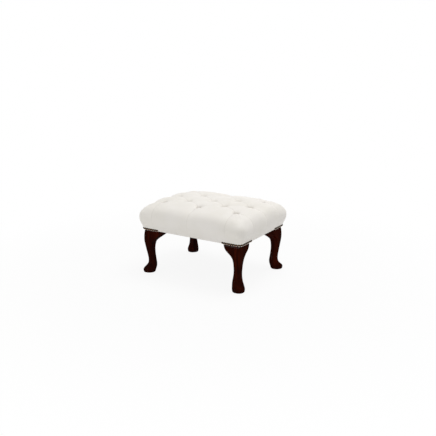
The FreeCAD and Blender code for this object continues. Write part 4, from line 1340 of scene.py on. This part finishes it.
    def foam_block(self) -> bpy.types.Object:
        """The foam with its holes: the CAD block's points, those of its upper rim drawn in for sloping sides.

        Returns:
            The piece.
        """
        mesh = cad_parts["seat_foam"].data
        points = np.empty(3 * len(mesh.vertices))
        mesh.vertices.foreach_get("co", points)
        corners = np.empty(len(mesh.loops), dtype=int)
        mesh.loops.foreach_get("vertex_index", corners)
        points, merged = np.unique((points.reshape(-1, 3) / MM).round(3), axis=0, return_inverse=True)
        triangles = merged.reshape(-1)[corners].reshape(-1, 3)
        close = 0.1
        outermost = np.abs(points) > points.max(axis=0) - close
        at_rim = outermost[:, :2] & outermost[:, 2:]
        points[:, :2] -= np.sign(points[:, :2]) * self.foam_slope * at_rim
        return put("foam_block", points, triangles.tolist(), self.foam_crease)

    def twine_strands(self) -> bpy.types.Object:
        """The twine from each button down through the deck: a thin rod above a short thick knot.

        Returns:
            The piece, which holds all strands.
        """
        around = self.twine_sides
        turn = turns(around)
        circle = np.stack([np.cos(turn), np.sin(turn)], axis=-1)
        low, high = self.knot_heights
        thick, thin = self.knot_radius, self.twine_radius
        faces, strands = [], []
        for spot, floor in zip(self.buttons(), self.button_floors()):
            first = np.arange(around) + len(strands) * around
            last = first + 3 * around
            faces += tube_faces(4, around, first[0]).tolist()
            faces += [first[::-1].tolist(), last.tolist()]
            for level, radius in ((low, thick), (high, thick), (high, thin), (floor, thin)):
                strands.append(at_height(spot + radius * circle, level))
        return put("waxed_twine", np.concatenate(strands), faces, self.twine_crease)

    def build(self) -> None:
        """Makes the cover, the buttons, the foam and the twine and dresses them."""
        cover = self.cover()
        dress(cover, self.finish.material(pleated=True), "tufted_cover")
        plain = self.finish.material(pleated=False)
        for number, piece in enumerate(self.button_pieces(), start=1):
            dress(piece, plain, f"button_{number:02d}")
        foam = self.foam_block()
        dress(foam, self.foam.material(), "seat_foam")
        dress(self.twine_strands(), self.twine.material(), "button_twine")


# Legs


@dataclass
class CabrioleLeg:
    """A cabriole leg with two mitred ears, drawn on a corner of the seat as distances in from its two faces.

    Each level of the leg is a soft octagon: four faces square to the seat and four across the diagonals.
    Stations are pairs of height and distance. Beyond the post, the back outline is the ears' lower edge.
    """

    top: float = 227.5
    floor: float = 2.0
    post: float = 60.0
    face: Stations = (
        (227.5, 9.0), (212.0, 6.2), (195.0, 4.4), (180.0, 3.8), (165.0, 4.0), (148.0, 5.2), (132.0, 7.0),
        (113.0, 8.6), (95.0, 9.8), (75.0, 10.6), (60.0, 10.2), (48.0, 8.0), (38.0, 3.0), (30.0, -3.4),
        (22.0, -8.6), (14.5, -10.9), (7.0, -10.0), (2.0, -8.6),
    )
    back: Stations = (
        (224.0, 95.0), (216.0, 93.6), (209.5, 91.5), (203.5, 88.8), (198.0, 85.5), (193.0, 81.7),
        (188.0, 76.0), (182.5, 70.0), (177.5, 64.0), (174.0, 60.0), (171.0, 57.2), (166.5, 53.0),
        (162.0, 49.7), (157.0, 47.8), (148.0, 46.9), (132.0, 46.2), (113.0, 46.2), (95.0, 47.2),
        (75.0, 50.2), (60.0, 53.2), (48.0, 55.8), (38.0, 56.6), (28.0, 54.8), (20.0, 52.8), (14.5, 51.8),
        (7.0, 51.0), (2.0, 49.6),
    )
    outer: Stations = (
        (227.5, 5.0), (190.0, 5.0), (169.0, 5.2), (159.0, 6.7), (148.0, 9.0), (137.5, 10.9),
        (127.0, 13.1), (116.0, 15.4), (105.0, 18.0), (94.7, 20.2), (84.0, 22.5), (73.0, 24.4),
        (62.5, 25.2), (52.0, 24.5), (46.7, 23.5), (41.5, 21.8), (36.5, 18.7), (31.6, 14.4), (26.7, 9.1),
        (22.0, 3.4), (18.5, -1.2), (15.0, -3.2), (12.0, -3.9), (8.0, -3.5), (2.0, -1.9),
    )
    inner: Stations = (
        (227.5, 96.0), (184.0, 92.0), (176.0, 88.0), (171.0, 81.6), (166.5, 75.2), (162.0, 69.8),
        (157.0, 66.6), (149.0, 64.0), (139.0, 61.3), (123.0, 59.8), (112.0, 59.9), (102.0, 60.4),
        (91.0, 61.5), (80.0, 62.8), (70.0, 63.7), (59.0, 65.3), (48.0, 66.8), (38.0, 67.0), (32.0, 66.8),
        (27.0, 65.9), (21.5, 64.2), (16.0, 62.4), (10.7, 60.8), (5.3, 59.0), (2.0, 57.4),
    )
    flank: Stations = (
        (227.5, 62.0), (186.0, 47.0), (178.0, 40.4), (173.0, 36.4), (168.0, 33.1), (163.4, 30.5),
        (158.6, 28.3), (153.8, 26.6), (149.0, 25.4), (144.0, 24.2), (139.0, 23.0), (134.5, 22.0),
        (125.0, 20.9), (115.0, 20.1), (105.0, 19.3), (96.0, 18.9), (86.0, 19.2), (76.0, 19.8),
        (66.0, 21.3), (56.6, 23.0), (47.0, 24.6), (37.0, 26.5), (27.0, 28.4), (20.0, 29.8), (14.5, 30.4),
        (7.0, 29.6), (2.0, 28.4),
    )
    crispness: Stations = (
        (227.5, 160.0), (165.0, 120.0), (140.0, 50.0), (110.0, 26.0), (80.0, 14.0), (50.0, 9.0),
        (2.0, 8.0),
    )
    softness: float = 5.0
    around: int = 96
    levels: int = 170
    least_flat: float = 1.0
    leg_crease: float = 28.0

    # Ears, and the easing of their lower edges, at the lower tip and from a distance beyond it
    ear_top: float = 224.0
    ear_ease: float = 2.6
    tip_ease: float = 5.5
    tip_reach: float = 18.0
    search_from: float = 160.0
    search_steps: int = 400
    ear_rows: int = 48
    ear_levels: int = 20
    edge_steps: int = 5
    ear_crease: float = 40.0

    finish: Mahogany = field(default_factory=Mahogany)

    def outline(self, stations: Stations, heights: np.ndarray) -> np.ndarray:
        """One of the leg's outlines at the given heights."""
        return smooth_curve(heights, stations, self.softness)

    def shaft(self) -> tuple[np.ndarray, Faces]:
        """The leg's surface.

        At each level the distance from its middle in a direction is a power mean of its eight flats: the sum
        of (cosine to the flat over the flat's distance) to the power p, to the power of minus one over p. A
        high p gives crisp arrises, and a low one rounds the level off.

        Returns:
            The points and the faces, at a corner whose faces run along +X and +Y.
        """
        z = np.linspace(self.floor, self.top, self.levels)
        face, outer, inner = (self.outline(line, z) for line in (self.face, self.outer, self.inner))
        back = np.minimum(self.outline(self.back, z), self.post)
        flank = self.outline(self.flank, z)
        power = self.outline(self.crispness, z)[:, None]
        centre = (face + back) / 2
        diagonal = math.sqrt(2) * centre
        flats = [back - centre, inner - diagonal, back - centre, flank]
        flats += [centre - face, diagonal - outer, centre - face, flank]
        turn = turns(self.around)
        total = np.zeros((len(z), self.around))
        for number, distance in enumerate(flats):
            leaning = np.clip(np.cos(turn - math.radians(45 * number)), 0.0, None)
            total += (leaning / np.maximum(distance, self.least_flat)[:, None]) ** power
        reach = total ** (-1.0 / power)
        x = centre[:, None] + reach * np.cos(turn)
        y = centre[:, None] + reach * np.sin(turn)
        points = np.stack([x, y, np.broadcast_to(z[:, None], x.shape)], axis=-1).reshape(-1, 3)
        middles = [[centre[0], centre[0], z[0]], [centre[-1], centre[-1], z[-1]]]
        return np.concatenate([points, middles]), capped_faces(self.levels, self.around)

    def ear(self) -> tuple[np.ndarray, Faces]:
        """The ear along +X: a loop up its mitre, over its top and down its front, carried along its length.

        The lower edge goes on from the leg's own back outline, the front follows the knee's curve, and the
        back lies on the mitre with the other ear, where y equals x. The edge between front and underside is
        eased by an arc that is largest where the ear runs out into the leg.

        Returns:
            The points and the faces, at a corner whose faces run along +X and +Y.
        """
        ladder = np.linspace(self.search_from, self.ear_top, self.search_steps)
        reach = self.outline(self.back, ladder)
        start = np.interp(self.post, reach, ladder)
        low = np.linspace(start, self.ear_top, self.ear_rows)
        along = np.interp(low, ladder, reach)
        share = np.minimum((along - self.post) / self.tip_reach, 1.0)
        ease = self.tip_ease + (self.ear_ease - self.tip_ease) * share
        top = np.full_like(low, self.top)
        z = np.linspace(low + ease, top, self.ear_levels, axis=-1)
        front = np.stack([self.outline(self.face, z), z], axis=-1)
        quarter = np.linspace(0.0, np.pi / 2, self.edge_steps)
        arc = np.stack([1 - np.sin(quarter), 1 - np.cos(quarter)], axis=-1)
        edge = np.stack([front[:, 0, 0], low], axis=-1)[:, None] + ease[:, None, None] * arc
        mitre = np.stack([np.stack([along, low], axis=-1), np.stack([along, top], axis=-1)], axis=1)
        loops = np.concatenate([mitre, front[:, :0:-1], edge[:, ::-1]], axis=1)
        x = np.broadcast_to(along[:, None, None], (*loops.shape[:2], 1))
        rings = np.concatenate([x, loops], axis=-1)
        points = np.concatenate([rings.reshape(-1, 3), rings[[0, -1]].mean(axis=1)])
        return points, capped_faces(*rings.shape[:2])

    def build(self) -> None:
        """Makes the four legs and the eight ears."""
        material = self.finish.material()
        leg, leg_faces = self.shaft()
        ear, ear_faces = self.ear()
        ears = {
            EarSide.LONG: (ear, ear_faces),
            EarSide.SHORT: (ear[:, [1, 0, 2]], [face[::-1] for face in ear_faces]),
        }
        for corner in Corner:
            name = f"leg_{corner.label}"
            piece = put(f"cabriole_{name}", corner.carry(leg), corner.outward(leg_faces), self.leg_crease)
            dress(piece, material, name)
            for side, (points, faces) in ears.items():
                name = f"ear_{corner.label}_{side.value}"
                piece = put(f"knee_{name}", corner.carry(points), corner.outward(faces), self.ear_crease)
                dress(piece, material, name)


# Nail rows


@dataclass
class NailRows:
    """Rows of antique brass heads round the four corners of the cover's lower edge."""

    edge: float = HEM_HEIGHT
    corner: float = HEM_CORNER
    lean: float = HEM_LEAN
    count: int = 16
    pitch: float = 12.0
    tilt: float = math.radians(9.0)
    rise: float = 3.9

    # One head, as shares of its radius and height
    radius: float = 6.2
    height: float = 4.7
    base: float = -0.5
    around: int = 20
    profile: Stations = (
        (0.9, -0.15), (1.0, 0.02), (0.985, 0.2), (0.91, 0.46), (0.75, 0.7), (0.52, 0.87), (0.26, 0.97),
    )
    crease: float = 50.0

    # Unevenness of the heads
    seed: int = 7
    uneven_tilt: float = 0.025
    uneven_place: float = 0.12

    finish: AntiqueBrass = field(default_factory=AntiqueBrass)

    def places(self) -> tuple[np.ndarray, np.ndarray]:
        """One row's places: even steps along a line that turns round the corner on a quarter of a circle.

        Returns:
            Middles and outward normals, at a corner whose faces run along +X and +Y.
        """
        out = self.rise * math.tan(self.lean)
        bend = self.corner + out
        along = (np.arange(self.count) - (self.count - 1) / 2) * self.pitch
        eighth, outwards = math.pi / 4, math.radians(225)
        angle = outwards + np.clip(along / bend, -eighth, eighth)
        straight = np.maximum(np.abs(along) - eighth * bend, 0.0)
        x = self.corner + bend * np.cos(angle) + straight * (along > 0)
        y = self.corner + bend * np.sin(angle) + straight * (along < 0)
        level = math.cos(self.tilt) * np.stack([np.cos(angle), np.sin(angle)], axis=-1)
        middles = at_height(np.stack([x, y], axis=-1), self.edge + self.rise)
        return middles, at_height(level, -math.sin(self.tilt))

    def head(self) -> tuple[np.ndarray, dict[str, np.ndarray], Faces]:
        """A domed head on the origin.

        Returns:
            Its points, the marks that tell how high and how low on it each point lies, and its faces.
        """
        shares, highs = np.array(self.profile).T[:, :, None]
        turn = turns(self.around)
        reach = self.radius * shares
        high = np.broadcast_to(self.height * highs, (len(highs), self.around))
        rings = np.stack([reach * np.cos(turn), reach * np.sin(turn), high], axis=-1)
        points = np.concatenate([rings.reshape(-1, 3), [[0, 0, self.base], [0, 0, self.height]]])
        marks = {"rise": np.clip(points[:, 2] / self.height, 0.0, 1.0), "low": points[:, 1] / self.radius}
        return points, marks, capped_faces(len(shares), self.around)

    def row(self, head: np.ndarray, random: np.random.Generator) -> np.ndarray:
        """One row of heads, set slightly uneven.

        Args:
            head: The points of a head on the origin.
            random: Draws how far each head leans and how far it is off its place.

        Returns:
            The points of all heads, at a corner whose faces run along +X and +Y.
        """
        heads = []
        for middle, normal in zip(*self.places()):
            tilted = normal + random.normal(0.0, self.uneven_tilt, 3)
            tilted /= np.linalg.norm(tilted)
            aside = np.cross(tilted, (0.0, 0.0, 1.0))
            aside /= np.linalg.norm(aside)
            axes = np.stack([aside, np.cross(tilted, aside), tilted])
            nudge = random.normal(0.0, self.uneven_place, 3)
            heads.append(head @ axes + middle + nudge)
        return np.concatenate(heads)

    def build(self) -> None:
        """Makes one piece for each row."""
        random = np.random.default_rng(self.seed)
        material = self.finish.material()
        head, marks, head_faces = self.head()
        starts = np.arange(self.count) * len(head)
        faces = [[index + start for index in face] for start in starts.tolist() for face in head_faces]
        for corner in Corner:
            points = corner.carry(self.row(head, random))
            piece = put(f"brass_nails_{corner.label}", points, corner.outward(faces), self.crease)
            for name, values in marks.items():
                store(piece, name, np.tile(values, self.count))
            dress(piece, material, f"nail_row_{corner.label}")


# Carried-over CAD nodes


@dataclass
class InnerFrame:
    """Finishes of the rails, blocks, bolts, deck, glides and dust cover, which keep their CAD shapes."""

    beech: tuple[Colour, Colour] = (colour(206, 170, 128), colour(178, 138, 96))
    ply: tuple[Colour, Colour] = (colour(214, 186, 144), colour(186, 150, 106))
    along_x: tuple[float, float, float] = (0.05, 1.0, 1.0)
    along_y: tuple[float, float, float] = (1.0, 0.05, 1.0)
    zinc: PlainFinish = PlainFinish(
        name="zinc_plate",
        tint=colour(196, 198, 202),
        tint_low=colour(160, 163, 168),
        scale=300.0,
        roughness=0.28,
        depth=0.00004,
        metallic=1.0,
    )
    plastic: PlainFinish = PlainFinish(
        name="glide",
        tint=colour(58, 52, 48),
        tint_low=colour(42, 37, 34),
        scale=400.0,
        roughness=0.45,
        depth=0.00005,
    )

    def finishes(self) -> dict[str, bpy.types.Material]:
        """The materials of these nodes.

        Returns:
            One material for each start of a node's name.
        """
        long_beech = PlainWood("beech_along", *self.beech, self.along_x).material()
        cross_beech = PlainWood("beech_across", *self.beech, self.along_y).material()
        plated = self.zinc.material()
        return {
            "rail_long": long_beech,
            "rail_short": cross_beech,
            "rail_dowels": cross_beech,
            "corner_block": long_beech,
            "hanger_bolts": plated,
            "bolt_": plated,
            "twine_washers": plated,
            "deck_board": PlainWood("deck_plywood", *self.ply, self.along_x).material(),
            "foot_glides": self.plastic.material(),
            "dust_cover": DustCloth().material(),
        }

    def build(self) -> None:
        """Puts the finishes on the nodes that no other piece stands for."""
        finishes = self.finishes()
        for name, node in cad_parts.items():
            for start, material in finishes.items():
                if name.startswith(start):
                    node.data.materials.clear()
                    node.data.materials.append(material)
                    log.info("%s: %s", name, material.name)


# Studio


def seen_plainly(tree: NodeTree) -> Num:
    """Tells the rays that see a surface from those that only carry its light to the stool.

    Args:
        tree: The nodes that ask.

    Returns:
        1 for rays from the camera or by way of a gloss or a glass, and 0 for all others.
    """
    kinds = ("Is Camera Ray", "Is Glossy Ray", "Is Transmission Ray")
    camera, gloss, glass = (tree.add("ShaderNodeLightPath", {}, {}, kind) for kind in kinds)
    return camera.math("MAXIMUM", gloss).math("MAXIMUM", glass)


def aimed(obj: bpy.types.Object, place: tuple, aim: tuple) -> None:
    """Puts a lamp or a camera in its place and links it to the scene.

    Args:
        obj: The lamp or the camera.
        place: Where it stands, in metres.
        aim: The point that it looks at, in metres.
    """
    obj.location = place
    obj.rotation_euler = (Vector(aim) - Vector(place)).to_track_quat("-Z", "Y").to_euler()
    bpy.context.scene.collection.objects.link(obj)


@dataclass
class Studio:
    """Plain white floor and backdrop, soft lamps and the camera of the photograph. Its sizes are metres."""

    eye: tuple[float, float, float] = (1.5474, -2.4115, 1.0344)
    target: tuple[float, float, float] = (0.2165, -0.30128, 0.37054)
    lens: float = 49.04
    sensor: float = 36.0
    world_level: float = 0.53
    floor_reach: float = 9.0
    floor_tint: Colour = colour(246, 246, 246)
    floor_white: float = 0.9
    floor_fade: tuple[float, float] = (0.5, 1.6)
    lamps: tuple = (
        # Name, place, aim, size, power
        ("overhead", (0.55, 0.55, 3.2), (0.0, 0.0, 0.3), 1.8, 42.0),
        ("window", (-1.15, -2.45, 0.34), (0.0, 0.0, 0.2), 0.5, 6.5),
    )

    def floor(self) -> None:
        """A wide floor that looks white to the camera and keeps a soft shadow of the stool."""
        corners = np.array([[-1.0, -1.0], [1.0, -1.0], [1.0, 1.0], [-1.0, 1.0]])
        ground = put("studio_floor", at_height(corners * self.floor_reach / MM, 0.0), [[0, 1, 2, 3]])
        tree = NodeTree.of_material("studio_floor")
        material = tree.finish(Base_Color=self.floor_tint, Roughness=0.9, Specular_IOR_Level=0.1)
        lit = tree.nodes["Principled BSDF"].outputs[0]
        glow = tree.add("ShaderNodeEmission", {}, {"Color": WHITE, "Strength": 1.0}, "Emission")
        away = tree.add("ShaderNodeVectorMath", {"operation": "LENGTH"}, {0: tree.place()}, "Value")
        white = away.between(*self.floor_fade) * (1.0 - self.floor_white) + self.floor_white
        share = seen_plainly(tree) * white
        mixed = tree.add("ShaderNodeMixShader", {}, {0: share, 1: lit, 2: glow}, "Shader")
        tree.join(mixed, tree.nodes["Material Output"].inputs["Surface"])
        ground.data.materials.append(material)

    def world(self) -> None:
        """An even pale sky that lights softly and looks white."""
        world = bpy.data.worlds.new("studio")
        bpy.context.scene.world = world
        tree = NodeTree(world)
        levels = (self.world_level, 1.0)
        sky, shown = (
            tree.add("ShaderNodeBackground", {}, {"Color": WHITE, "Strength": level}, "Background")
            for level in levels
        )
        mixed = tree.add("ShaderNodeMixShader", {}, {0: seen_plainly(tree), 1: sky, 2: shown}, "Shader")
        tree.join(mixed, tree.nodes["World Output"].inputs["Surface"])

    def lights(self) -> None:
        """Square lamps, each aimed at the stool."""
        for name, place, aim, size, power in self.lamps:
            data = bpy.data.lights.new(name, "AREA")
            data.shape = "SQUARE"
            data.size = size
            data.energy = power
            aimed(bpy.data.objects.new(name, data), place, aim)

    def camera(self) -> None:
        """The camera, worked out from the seat's corners and the feet in the photograph."""
        data = bpy.data.cameras.new("camera")
        data.sensor_width = self.sensor
        data.lens = self.lens
        camera = bpy.data.objects.new("camera", data)
        aimed(camera, self.eye, self.target)
        bpy.context.scene.camera = camera

    def build(self) -> None:
        """Sets up the whole studio."""
        self.floor()
        self.world()
        self.lights()
        self.camera()
        bpy.context.scene.view_settings.view_transform = "Standard"


def main() -> None:
    """Builds the stool from the frame outwards, and then the studio round it."""
    logging.basicConfig(level=logging.INFO, format="%(name)s %(message)s")
    InnerFrame().build()
    TuftedSeat().build()
    CabrioleLeg().build()
    NailRows().build()
    Studio().build()


if __name__ == "__main__":
    main()
